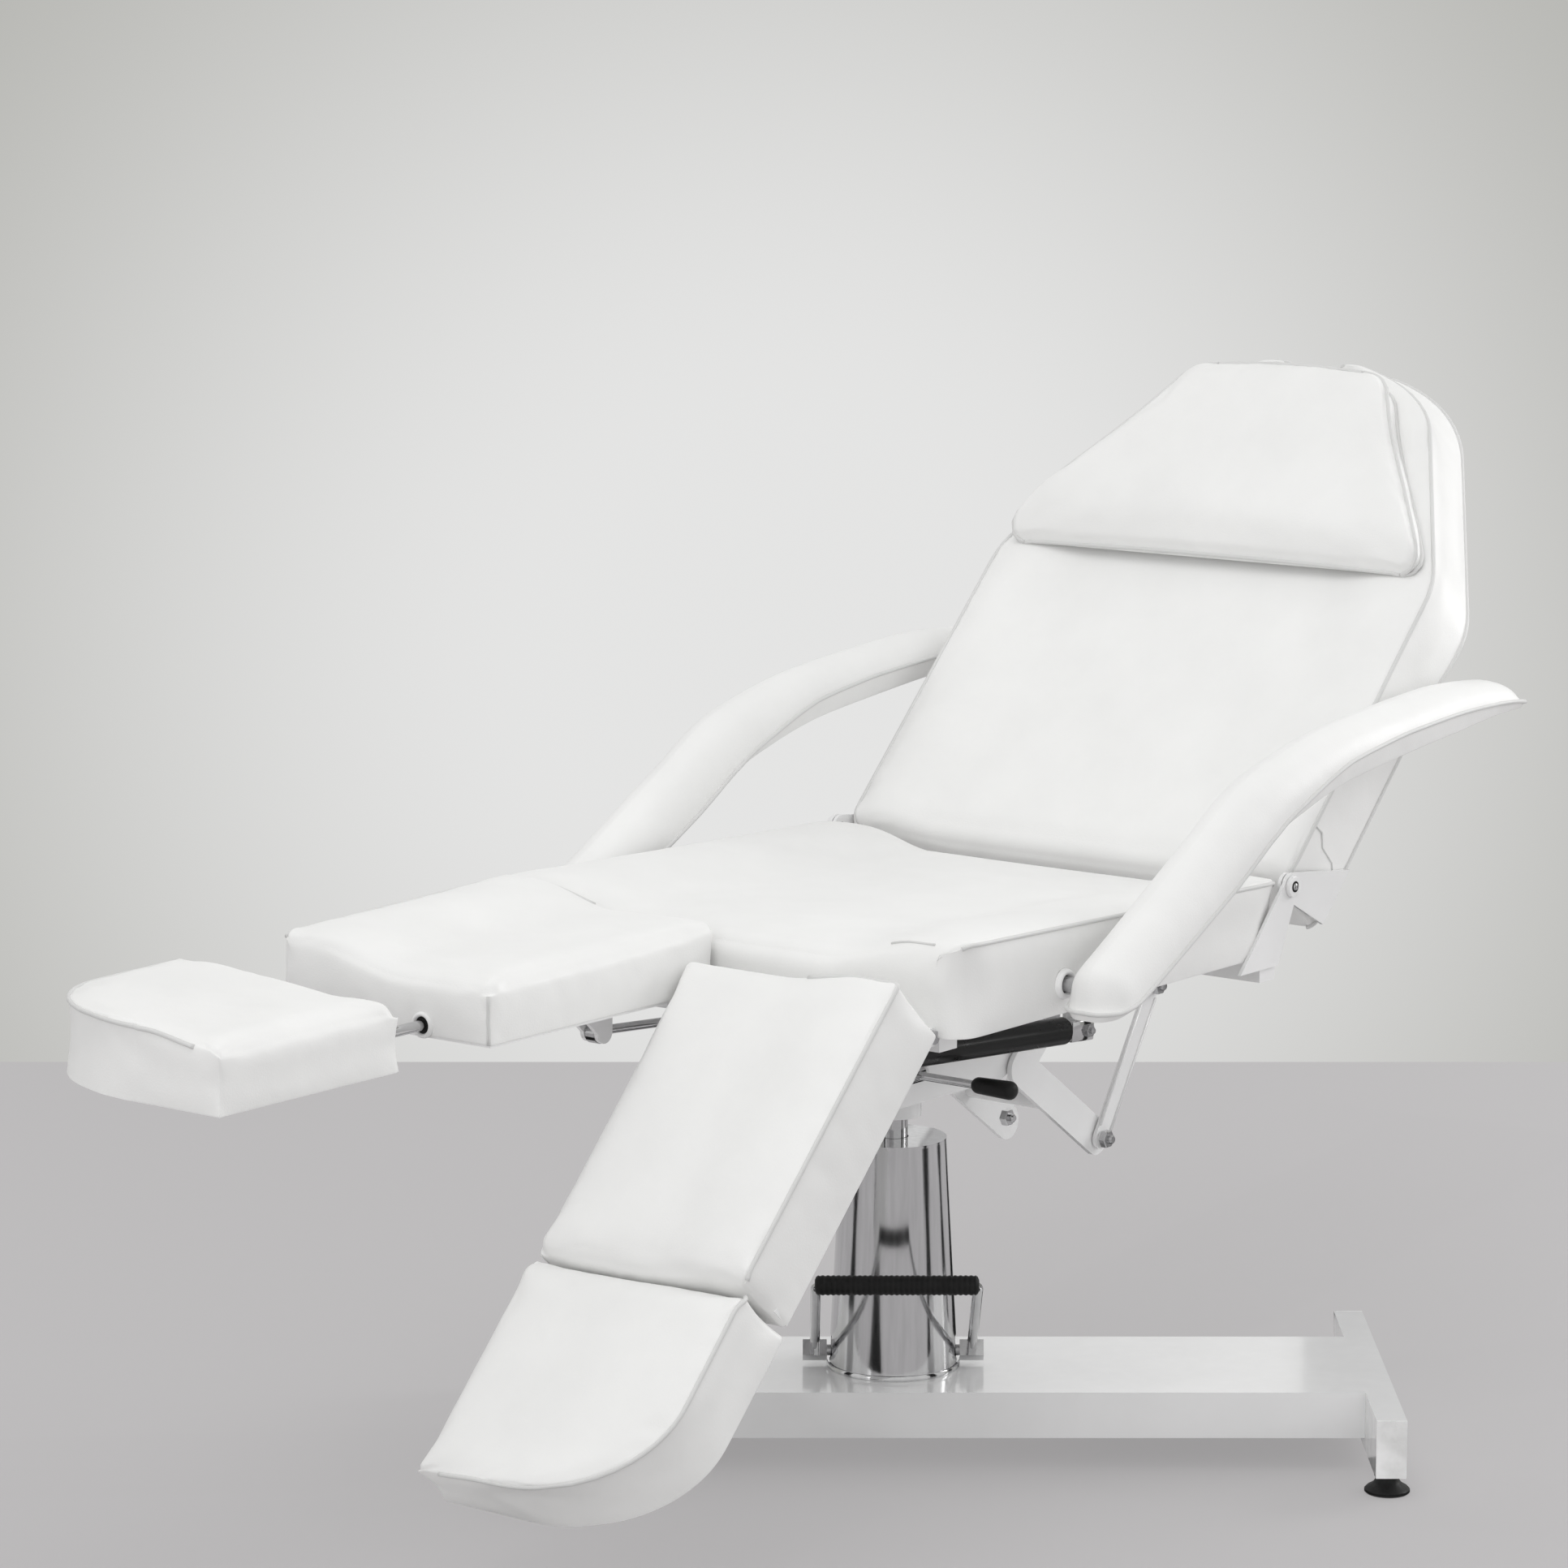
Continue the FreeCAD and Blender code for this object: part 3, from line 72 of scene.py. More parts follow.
def axes(origin, along):
    """A part's own axes: X along the part, Y as in the frame, Z out of its upper face."""
    x = Vector(along).normalized()
    z = x.cross(Y_AXIS)
    matrix = Matrix((x, Y_AXIS, z)).transposed().to_4x4()
    matrix.translation = Vector((origin[0], 0, origin[2]))
    return matrix


def span(place, *nodes):
    """The lowest and highest corner of CAD nodes in a part's own axes."""
    inverse = place.inverted()
    points = [inverse @ vertex.co for node in nodes for vertex in NODES[node].data.vertices]
    points = np.array(points)
    return points.min(0), points.max(0)


LEVEL = Matrix.Identity(4)
BACK_NORMAL = Vector(JOINTS["pillow_lift_off"]["axis"])
BACK = axes(joint_point("back_recline"), Y_AXIS.cross(BACK_NORMAL))
LEGS = {
    side: axes(joint_point(f"{side}_leg_lift"), -Vector(JOINTS[f"{side}_foot_pull"]["axis"]))
    for side, sign in SIDES}
ARM_FOOT = joint_point("left_arm_turn")
ELBOW = joint_point("left_elbow_turn")
BACK_HINGE = joint_point("back_recline")
STRUT_LINE = -Vector(JOINTS["left_strut_slide"]["axis"])
COLUMN_TURN = math.atan2(*reversed(JOINTS["pedal_press"]["axis"][:2]))
BASE = Matrix.Rotation(COLUMN_TURN, 4, "Z")


# Materials

def feed(tree, socket, value):
    """Sets a socket to a value, or links another node's output to it."""
    if isinstance(value, bpy.types.NodeSocket):
        tree.links.new(value, socket)
    else:
        socket.default_value = value


def plug(tree, node, **inputs):
    for name, value in inputs.items():
        feed(tree, node.inputs[name.replace("_", " ")], value)


def add_node(tree, kind, settings=None, **inputs):
    node = tree.nodes.new(f"ShaderNode{kind}")
    for name, value in (settings or {}).items():
        setattr(node, name, value)
    plug(tree, node, **inputs)
    return node


def new_material(name, color, roughness, metallic=0.0, coat=0.0, specular=0.5):
    """A material with a principled shader, and the shader's node tree to add detail to."""
    material = bpy.data.materials.new(name)
    material.use_nodes = True
    tree = material.node_tree
    shader = tree.nodes["Principled BSDF"]
    plug(tree, shader, Base_Color=(*color, 1), Roughness=roughness, Metallic=metallic,
         Specular_IOR_Level=specular, Coat_Weight=coat, Coat_Roughness=0.08)
    return material, tree, shader


def coordinates(tree, stretch=(1, 1, 1)):
    """Places on the object in metres, stretched along its axes."""
    source = add_node(tree, "TexCoord")
    mapping = add_node(tree, "Mapping", Scale=stretch, Vector=source.outputs["Object"])
    return mapping.outputs["Vector"]


def noise_map(tree, place, scale, low=0.0, high=1.0, detail=4.0):
    """Noise of a scale, mapped to a range of numbers."""
    noise = add_node(tree, "TexNoise", Scale=scale, Detail=detail, Vector=place)
    mapped = add_node(
        tree, "MapRange", From_Min=0.3, From_Max=0.7, To_Min=low, To_Max=high, Value=noise.outputs["Fac"])
    return mapped.outputs["Result"]


def shade(color, share):
    return tuple(min(1.0, channel * share) for channel in color)


def frame_color(slot, share=1.0):
    """A share of a slot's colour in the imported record."""
    color = next(entry["base_color"] for entry in frame["record"]["materials"] if entry["slot"] == slot)
    return shade(color[:3], share)


def mixed(tree, factor, first, second):
    mix = add_node(tree, "Mix", {"data_type": "RGBA"}, A=first, B=second, Factor=factor)
    return mix.outputs["Result"]


def tint(tree, shader, factor, color, dark, light):
    """Base colour that varies between two shares of a colour."""
    ends = [(*shade(color, share), 1) for share in (dark, light)]
    plug(tree, shader, Base_Color=mixed(tree, factor, *ends))


def add_bump(tree, shader, height, distance, strength, **below):
    bump = add_node(tree, "Bump", Strength=strength, Distance=distance, Height=height, **below)
    plug(tree, shader, Normal=bump.outputs["Normal"])
    return bump.outputs["Normal"]


def leather(name, color):
    """Smooth faux leather: fine pebble grain, soft creases and faint mottling."""
    material, tree, shader = new_material(name, color, roughness=0.42, specular=0.42)
    place = coordinates(tree)
    tint(tree, shader, noise_map(tree, place, scale=9), color, dark=0.965, light=1.012)
    plug(tree, shader, Sheen_Weight=0.05, Roughness=noise_map(tree, place, scale=30, low=0.36, high=0.48))
    grain = add_node(tree, "TexVoronoi", {"feature": "SMOOTH_F1"}, Scale=620, Vector=place)
    creases = noise_map(tree, place, scale=14, detail=2)
    soft = add_bump(tree, shader, creases, distance=0.0022, strength=0.35)
    add_bump(tree, shader, grain.outputs["Distance"], distance=0.00035, strength=0.3, Normal=soft)
    return material


def painted(name, color, roughness, coat=0.6, specular=0.5):
    """Stoved paint with a faint orange peel."""
    material, tree, shader = new_material(name, color, roughness, coat=coat, specular=specular)
    place = coordinates(tree)
    tint(tree, shader, noise_map(tree, place, scale=12), color, dark=0.97, light=1.01)
    plug(tree, shader, Roughness=noise_map(tree, place, 60, low=roughness * 0.85, high=roughness * 1.2))
    add_bump(tree, shader, noise_map(tree, place, scale=340, detail=1), distance=0.00006, strength=0.12)
    return material


def metal(name, color, roughness, scale, stretch=(1, 1, 1)):
    """Bare metal with fine lines drawn out along one axis."""
    material, tree, shader = new_material(name, color, roughness, metallic=1.0)
    place = coordinates(tree, stretch)
    lines = noise_map(tree, place, scale, detail=6)
    tint(tree, shader, lines, color, dark=0.9, light=1.03)
    plug(tree, shader, Roughness=noise_map(tree, place, scale / 2, roughness * 0.75, roughness * 1.25))
    add_bump(tree, shader, lines, distance=0.00015, strength=0.15)
    return material


def moulded(name, color, roughness):
    """Moulded plastic or rubber with a fine grain."""
    material, tree, shader = new_material(name, color, roughness, specular=0.25)
    place = coordinates(tree)
    tint(tree, shader, noise_map(tree, place, scale=25), color, dark=0.8, light=1.25)
    plug(tree, shader, Roughness=noise_map(tree, place, 45, low=roughness * 0.85, high=roughness * 1.1))
    add_bump(tree, shader, noise_map(tree, place, scale=420, detail=2), distance=0.00025, strength=0.3)
    return material


def plywood(color):
    """Plain plywood with long grain."""
    material, tree, shader = new_material("plywood", color, roughness=0.6)
    place = coordinates(tree, (1.2, 14, 60))
    tint(tree, shader, noise_map(tree, place, scale=6, detail=8), color, dark=0.72, light=1.1)
    add_bump(tree, shader, noise_map(tree, place, scale=12, detail=8), distance=0.0004, strength=0.4)
    return material


FINISHES = {
    "upholstery": leather("white_faux_leather", frame_color("upholstery")),
    "white_paint": painted("white_powder_coat", frame_color("white_paint", 1.07), 0.2),
    "chrome": metal("polished_chrome", frame_color("chrome", 0.75), 0.09, scale=40),
    "column_steel": metal(
        "polished_column_steel", frame_color("column_steel", 0.95), 0.12, scale=160, stretch=(1, 1, 0.06)),
    "steel": metal("zinc_plated_steel", frame_color("steel"), 0.34, scale=300),
    "black_paint": painted(
        "black_gloss_paint", frame_color("black_paint", 0.4), 0.3, coat=0.03, specular=0.2),
    "black_rubber": moulded("black_rubber", frame_color("black_rubber", 0.4), 0.6),
    "black_plastic": moulded("black_plastic", frame_color("black_plastic", 0.4), 0.42),
    "white_plastic": moulded("white_plastic", frame_color("white_plastic"), 0.3),
    "plywood": plywood(frame_color("plywood")),
}
# Piping and stitch thread take a darker copy of the leather: painted shade standing in for the shadow lines along
# the seams.
PIPING_PAINTED_SHADE_LEATHER = leather("white_piping_painted_shade", frame_color("upholstery", 0.8))


# Mesh helpers

def add_object(name, data):
    item = bpy.data.objects.new(name, data)
    scene.collection.objects.link(item)
    return item


def new_piece(name, forms, body, slot, sharp=None, place=LEVEL):
    """A piece of (points, faces) forms that rides on a body; edges sharper than an angle stay crisp."""
    mesh = bpy.data.meshes.new(name)
    points, faces = merged(forms)
    mesh.from_pydata([tuple(place @ Vector(point)) for point in points], [], [tuple(face) for face in faces])
    form = bmesh.new()
    form.from_mesh(mesh)
    bmesh.ops.recalc_face_normals(form, faces=form.faces)
    form.to_mesh(mesh)
    form.free()
    mesh.shade_smooth()
    if sharp:
        mesh.set_sharp_from_angle(angle=math.radians(sharp))
    mesh.materials.append(FINISHES[slot])
    piece = add_object(name, mesh)
    if body:
        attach(piece, body)
    return piece


def merged(forms):
    """Several (points, faces) forms as one."""
    points, faces = [], []
    for more_points, more_faces in forms:
        shift = len(points)
        points += [tuple(point) for point in more_points]
        faces += [tuple(index + shift for index in face) for face in more_faces]
    return points, faces


def turned(profile, place=LEVEL, sides=40, ends=True):
    """A turned form about its own Z axis from (height, radius) pairs, closed at its ends or open."""
    points, faces, rings = [], [], []
    for height, radius in profile:
        ring = []
        count = sides if radius > 0 else 1
        for index in range(count):
            angle = 2 * math.pi * index / count
            ring.append(len(points))
            points.append(place @ Vector((radius * math.cos(angle), radius * math.sin(angle), height)))
        rings.append(ring)
    for lower, upper in zip(rings, rings[1:]):
        for index in range(sides):
            quad = [lower[index % len(lower)], lower[(index + 1) % len(lower)],
                    upper[(index + 1) % len(upper)], upper[index % len(upper)]]
            quad = [corner for k, corner in enumerate(quad) if corner not in quad[:k]]
            if len(quad) > 2:
                faces.append(quad)
    for ring in (rings[0], rings[-1]):
        if ends and len(ring) > 1:
            faces.append(ring)
    return points, faces


def tube(route, radius, sides=8, closed=False):
    """A round tube along a line of points."""
    route = [Vector(point) for point in route]
    count = len(route)
    points, faces = [], []
    side = None
    for index, point in enumerate(route):
        before = route[index - 1] if index or closed else point
        after = route[(index + 1) % count] if index < count - 1 or closed else point
        along = (after - before).normalized()
        if side is None:
            side = along.orthogonal().normalized()
        side = (side - along * side.dot(along)).normalized()
        across = along.cross(side)
        for step in range(sides):
            angle = 2 * math.pi * step / sides
            points.append(point + radius * (math.cos(angle) * side + math.sin(angle) * across))
    for index in range(count if closed else count - 1):
        for step in range(sides):
            a = index * sides + step
            b = index * sides + (step + 1) % sides
            c = (index + 1) % count * sides
            faces.append((a, b, c + (step + 1) % sides, c + step))
    if not closed:
        faces.append(tuple(range(sides)))
        faces.append(tuple(range((count - 1) * sides, count * sides)))
    return points, faces


def facing(point, direction):
    """Axes at a point with Z along a direction."""
    matrix = Vector(direction).to_track_quat("Z", "Y").to_matrix().to_4x4()
    matrix.translation = Vector(point)
    return matrix


# Padded covers

PITCH = 0.0115
ROLL_STEPS = 6
WALL_ROWS = 6


def steps(length, roll, far_roll):
    """Places along a length: close together in the rolled edges, evenly spaced between them."""
    turn = np.linspace(0, math.pi / 2, ROLL_STEPS + 1)
    near = roll * (1 - np.cos(turn))
    far = length - far_roll * (1 - np.cos(turn))
    count = max(2, round((length - roll - far_roll) / PITCH))
    middle = np.linspace(near[-1], far[-1], count + 1)
    return np.concatenate([near[:-1], middle, far[-2::-1]])


def smooth(share):
    share = min(max(share, 0.0), 1.0)
    return share * share * (3 - 2 * share)


def corner_cut(distance, reach, depth):
    """How far a rounded corner draws an edge in, at a distance from the end."""
    share = min(max(1 - distance / reach, 0.0), 1.0)
    return depth * (1 - math.sqrt(1 - share * share))


class Cover:
    """A closed cover: a grid over the plan for its top and its base, joined by a wall around the edge.

    ends gives the first and last x and edges(x) the two sides at x. height(x, share) is the top's level,
    with share from 0 at the first side to 1 at the second, and low(x, gap) the base's, with gap the
    distances to the two sides. rolls are the widths of the rounded edges at the first end, the last end,
    the first side and the second side, and fall(x) their depth where it isn't the width. foot(x, y) is
    the place on the base below a point of the plan, and draw how far the wall is pulled in.
    """

    def __init__(self, ends, edges, low, height, rolls, fall=None, foot=None, draw=0.003):
        first, last = ends
        start_roll, end_roll, side_roll, far_roll = rolls
        self.xs = first + steps(last - first, start_roll, end_roll)
        width = max(abs(b - a) for a, b in map(edges, self.xs))
        self.shares = steps(width, side_roll, far_roll) / width
        self.points, self.faces = [], []
        self.top = self.grid(edges, lambda x, share, gap: height(x, share) - drop(ends, x, gap, rolls, fall))
        self.base = self.grid(edges, lambda x, share, gap: low(x, gap), foot)
        self.ring = self.around(self.top)
        self.base_ring = self.around(self.base)
        self.quads(self.top)
        self.quads(self.base)
        self.levels = self.wall(draw)

    def grid(self, edges, level, foot=None):
        rows = []
        for x in self.xs:
            a, b = edges(x)
            row = []
            for share in self.shares:
                row.append(len(self.points))
                y = a + share * (b - a)
                gap = (share * abs(b - a), (1 - share) * abs(b - a))
                place = foot(x, y) if foot else (x, y)
                self.points.append((*place, level(x, share, gap)))
            rows.append(row)
        return rows

    @staticmethod
    def around(rows):
        first_side = [row[0] for row in rows]
        last_side = [row[-1] for row in rows]
        return first_side[:-1] + rows[-1][:-1] + last_side[:0:-1] + rows[0][:0:-1]

    def quads(self, rows):
        for row, after in zip(rows, rows[1:]):
            for k in range(len(row) - 1):
                self.faces.append((row[k], row[k + 1], after[k + 1], after[k]))

    def wall(self, draw):
        count = len(self.ring)
        upper = [Vector(self.points[index]) for index in self.ring]
        lower = [Vector(self.points[index]) for index in self.base_ring]
        middle = sum(upper, Vector()) / count
        levels = [self.ring]
        for level in range(1, WALL_ROWS + 1):
            share = level / WALL_ROWS
            if level == WALL_ROWS:
                below = self.base_ring
            else:
                below = []
                for start, end in zip(upper, lower):
                    inward = (middle - start).normalized() * draw * math.sin(math.pi * share)
                    point = start.lerp(end, share)
                    below.append(len(self.points))
                    self.points.append((point.x + inward.x, point.y + inward.y, point.z))
            for k in range(count):
                after = (k + 1) % count
                self.faces.append((levels[-1][k], levels[-1][after], below[after], below[k]))
            levels.append(below)
        return levels

    def stretch(self, start, end, ring=None):
        """Point numbers along the edge: 0 to 1 on the first side, then last end, second side, first end."""
        ring = ring or self.ring
        along = len(self.xs) - 1
        across = len(self.shares) - 1
        marks = [0, along, along + across, 2 * along + across, 2 * (along + across)]

        def place(turn):
            quarter = math.floor(turn)
            lap, part = divmod(quarter, 4)
            return lap * marks[4] + marks[part] + (turn - quarter) * (marks[part + 1] - marks[part])

        return [ring[k % len(ring)] for k in range(round(place(start)), round(place(end)) + 1)]

    def down(self, turn, lean=0):
        """Point numbers down the wall from a place on the edge, leaning by some points on the way."""
        start = self.ring.index(self.stretch(turn, turn)[0])
        last = len(self.levels) - 1
        return [row[(start + round(lean * level / last)) % len(row)] for level, row in enumerate(self.levels)]

    def across(self, row, start, end):
        """Point numbers across the top in one row of the grid, between two shares of the width."""
        return [index for index, share in zip(self.top[row], self.shares) if start <= share <= end]


def drop(ends, x, gap, rolls, fall):
    """How far a rolled edge lies below the top."""
    reaches = [(x - ends[0], rolls[0]), (ends[1] - x, rolls[1]), (gap[0], rolls[2]), (gap[1], rolls[3])]
    shares = [(max(0.0, 1 - distance / roll), roll) for distance, roll in reaches]
    total = sum(share * share for share, roll in shares)
    if total == 0:
        return 0.0
    depth = fall(x) if fall else sum(share * share * roll for share, roll in shares) / total
    return depth * (1 - math.sqrt(max(0.0, 1 - total)))


PIPING = 0.0024
THREAD = 0.0012
SLACK = 0.003
SWELL_CAP = 0.0035
covers = []


def add_cover(
        name, body, cover, place, replaced, seams=(), stitches=(), bend=None, slack=SLACK, cap=SWELL_CAP):
    """Notes a cover to be swelled and placed; piping lies along the seams and thread along the stitches."""
    covers.append({
        "name": name, "body": body, "cover": cover, "place": place, "replaced": replaced,
        "lines": [(line, PIPING) for line in seams] + [(line, THREAD) for line in stitches],
        "bend": bend, "slack": slack, "cap": cap})


SWELL_FRAMES = 18
CLOTH = {
    "quality": 6, "mass": 0.25, "vertex_group_mass": "held", "pin_stiffness": 1, "tension_stiffness": 18,
    "compression_stiffness": 18, "shear_stiffness": 6, "bending_stiffness": 0.6, "use_pressure": True,
    "uniform_pressure_force": 3}


def swell(entries):
    """Swells every cover with Blender's cloth, held at its seams and base, all in one run."""
    for entry in entries:
        cover = entry["cover"]
        piece = new_piece(entry["name"], [(cover.points, cover.faces)], None, "upholstery")
        entry["piece"] = piece
        held = piece.vertex_groups.new(name="held")
        held.add([index for row in cover.base for index in row] + cover.ring, 1.0, "REPLACE")
        add_cloth(piece, entry["slack"])
    for step in range(1, SWELL_FRAMES + 1):
        scene.frame_set(step)
    graph = bpy.context.evaluated_depsgraph_get()
    for entry in entries:
        piece = entry["piece"]
        start = read_points(piece.data)
        move = read_points(piece.evaluated_get(graph).data) - start
        piece.modifiers.clear()
        length = np.linalg.norm(move, axis=1, keepdims=True)
        move *= np.minimum(1, entry["cap"] / np.maximum(length, 1e-9))
        entry["points"] = start + move
    scene.frame_set(1)


def add_cloth(piece, slack):
    cloth = piece.modifiers.new("swell", "CLOTH")
    for name, value in CLOTH.items():
        setattr(cloth.settings, name, value)
    cloth.settings.shrink_min = -slack
    cloth.settings.effector_weights.gravity = 0
    cloth.point_cache.frame_end = SWELL_FRAMES


def read_points(mesh):
    flat = np.zeros(len(mesh.vertices) * 3, np.float32)
    mesh.vertices.foreach_get("co", flat)
    return flat.reshape(-1, 3).astype(float)


def finish_cover(entry):
    """Puts a swelled cover in place with its piping."""
    piece = entry["piece"]
    bend = entry["bend"] or Vector
    points = [entry["place"] @ bend(point) for point in entry["points"]]
    piece.data.vertices.foreach_set("co", np.array(points, np.float32).ravel())
    piece.data.update()
    smoother = piece.modifiers.new("smooth", "SUBSURF")
    smoother.levels = 1
    smoother.render_levels = 1
    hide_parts(*entry["replaced"])
    tubes = []
    for line, radius in entry["lines"]:
        closed = line[0] == line[-1]
        route = [points[index] for index in (line[1:] if closed else line)]
        tubes.append(tube(route, radius, closed=closed))
    piping = new_piece(f"{entry['name']}_piping", tubes, None, "upholstery")
    # The darker leather on piping and thread is painted seam shade.
    piping.data.materials[0] = PIPING_PAINTED_SHADE_LEATHER
    for part in (piece, piping):
        if isinstance(entry["body"], str):
            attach(part, entry["body"])
        else:
            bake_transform(part)


# Seat: piped edges at the sides that fall towards the back, a dished middle and a soft front roll

def make_seat():
    low, high = span(LEVEL, "seat_cushion")
    length = high[0] - low[0]
    dish = 0.018
    dish_half = 0.24
    dish_slope = 0.17
    front_rise = 0.004
    rear_fall = 0.014
    lip = 0.008
    lining_gap = 0.0012
    lining = span(LEVEL, "seat_board")[0][2] - lining_gap
    front_corner = 0.028
    rear_corner = 0.03
    end_roll = 0.02
    side_roll = 0.004
    piped_from = 0.075
    piped_to = 0.985
    fold_row = 3
    fold_from = 0.04
    fold_to = 0.15

    def edges(x):
        front = corner_cut(x - low[0], front_corner, front_corner)
        rear = corner_cut(high[0] - x, rear_corner, rear_corner)
        cut = max(front, rear)
        return low[1] + cut, high[1] - cut

    def height(x, share):
        side = smooth((abs(share - 0.5) - dish_half) / dish_slope)
        along = (x - low[0]) / length
        return high[2] + front_rise - (front_rise + rear_fall) * along - dish * (1 - side)

    def base(x, gap):
        return low[2] if min(gap) < lip else lining

    rolls = (end_roll, end_roll, side_roll, side_roll)
    cover = Cover((low[0], high[0]), edges, base, height, rolls, draw=0.004)
    seams = [cover.stretch(piped_from, piped_to), cover.stretch(3 - piped_to, 3 - piped_from)]
    folds = [cover.across(fold_row, fold_from, fold_to), cover.across(fold_row, 1 - fold_to, 1 - fold_from)]
    add_cover("seat_cover", "carrier", cover, LEVEL, ["seat_cushion"], seams, folds)


# Backrest, larger at the rear than at the front, and the wedge-shaped head pillow

BACK_SHOULDER = 0.40
BACK_TAPER = 0.47
BACK_EASE = 0.05
BACK_FRONT = (0.640, 0.738)
BACK_REAR = (0.672, 0.790)
BACK_FLAT_TOP = 0.045
BACK_FLARE = 0.009
BACK_ROUND = 0.62


def back_half(x, wide, round_start, round_end):
    """Half the back's width at a height: straight, tapered from the shoulder, and rounded over at the top."""
    def tapered(x):
        past = x - BACK_SHOULDER
        eased = past - BACK_EASE / 2 if past > BACK_EASE else max(0.0, past) ** 2 / (2 * BACK_EASE)
        return wide - BACK_TAPER * eased

    if x < round_start:
        return tapered(x)
    share = min(1.0, (x - round_start) / (round_end - round_start))
    arc = tapered(round_start) * (1 - share * share) ** BACK_ROUND
    return arc - BACK_TAPER * (x - round_start) * (1 - share)


def make_back():
    low, high = span(BACK, "back_cushion", "back_board")
    wide = span(BACK, "back_cushion")[1][1]
    setback = 0.006
    last = BACK_FRONT[1] - setback
    rear_grow = BACK_REAR[1] - BACK_FRONT[1]
    bolster = 0.008
    hollow_half = 0.28
    hollow_slope = 0.14
    corner_reach = 0.03
    corner_depth = 0.012
    flare_start = 0.3
    flare_run = 0.1
    side_seam = 0.145
    seam_lean = 2

    def half(x):
        width = max(BACK_FLAT_TOP, back_half(x, wide, *BACK_FRONT))
        return width - corner_cut(x - low[0], corner_reach, corner_depth)

    def height(x, share):
        return -bolster + bolster * smooth((abs(share - 0.5) - hollow_half) / hollow_slope)

    def rear(x, y):
        up = smooth((x - BACK_SHOULDER) / (last - BACK_SHOULDER))
        back_x = x + rear_grow * up
        back_width = max(BACK_FLAT_TOP, back_half(back_x, wide + BACK_FLARE, *BACK_REAR))
        return back_x, y * (1 + (back_width / half(x) - 1) * smooth((x - flare_start) / flare_run))

    rolls = (0.02, 0.006, 0.005, 0.005)
    cover = Cover(
        (low[0], last), lambda x: (-half(x), half(x)), lambda x, gap: low[2], height, rolls,
        foot=rear, draw=0.004)
    seams = [cover.stretch(0.01, 2.99), cover.stretch(0, 3, cover.base_ring)]
    stitches = [cover.down(side_seam, -seam_lean), cover.down(3 - side_seam, seam_lean)]
    add_cover("back_cover", "backrest", cover, BACK, ["back_cushion", "back_board"], seams, stitches)


def make_pillow():
    low, high = span(BACK, "head_pillow")
    first = low[0] - 0.004
    last = high[0] - 0.008
    wide = high[1] + 0.012
    slim = 0.146
    slim_before_end = 0.03
    bow = 0.25
    thin = 0.014
    wedge = 0.085
    low_corner = 0.03
    corner = 0.04
    top = high[2] - 0.003
    side_fall = 0.006

    def half(x):
        share = min(max((x - first) / (last - slim_before_end - first), 0.0), 1.0)
        width = wide + (slim - wide) * ((1 - bow) * share + bow * smooth(share))
        low_cut = corner_cut(x - first, low_corner, low_corner)
        return width - low_cut - corner_cut(last - x, corner, 1.2 * corner)

    def height(x, share):
        rise = math.sqrt(math.sin(math.pi / 2 * min(1.0, (x - first) / wedge)))
        return low[2] + thin + (top - low[2] - thin) * rise - side_fall * (2 * share - 1) ** 2

    rolls = (0.006, 0.01, 0.01, 0.01)
    cover = Cover((first, last), lambda x: (-half(x), half(x)), lambda x, gap: low[2], height, rolls)
    seams = [cover.stretch(0, 4), cover.stretch(0, 3, cover.base_ring)]
    add_cover("pillow_cover", "pillow", cover, BACK, ["head_pillow"], seams)


# Leg rests: a raised bolster along the outer edge, a lower soft inner edge

SOFT_ROLL = 0.014
PIPED_ROLL = 0.004
LEG_CORNER = 0.007
FOOT_REACH = 0.12
FOOT_SWEEP = 0.17


def leg_height(inner_level, bolster, rise, slope, last):
    """A leg cushion's top: rising to the outer bolster between two shares, falling away from the seat."""
    start, end = rise

    def height(x, share):
        return inner_level + bolster * smooth((share - start) / (end - start)) - slope * (last - x)
    return height


def make_calf(side, sign):
    place = LEGS[side]
    low, high = span(place, f"{side}_calf_cushion")
    inner, outer = sorted((low[1], high[1]), key=abs)
    length = high[0] - low[0]
    lower_edge = span(place, f"{side}_foot_cushion")[0][2] + 0.003
    near_inset = 0.002
    inset_gain = 0.006
    piped_from = 1.55
    piped_to = 2.93

    def inset(x):
        return sign * (near_inset + inset_gain * (high[0] - x) / length)

    def edges(x):
        cut = sign * corner_cut(min(x - low[0], high[0] - x), LEG_CORNER, LEG_CORNER)
        return inner + cut / 2, outer - cut - inset(x)

    def under(x, y):
        return x, y + inset(x) * (y - inner) / (outer - inner)

    height = leg_height(high[2], bolster=0.019, rise=(0.45, 0.85), slope=0.02, last=high[0])
    rolls = (0.016, 0.005, SOFT_ROLL, PIPED_ROLL)
    cover = Cover((low[0], high[0]), edges, lambda x, gap: lower_edge, height, rolls, foot=under, draw=0.001)
    seams = [cover.stretch(piped_from, piped_to)]
    stitches = [cover.down(3.96), cover.down(0.02)]
    add_cover(f"{side}_calf_cover", f"{side}_leg", cover, place, [f"{side}_calf_cushion"], seams, stitches)


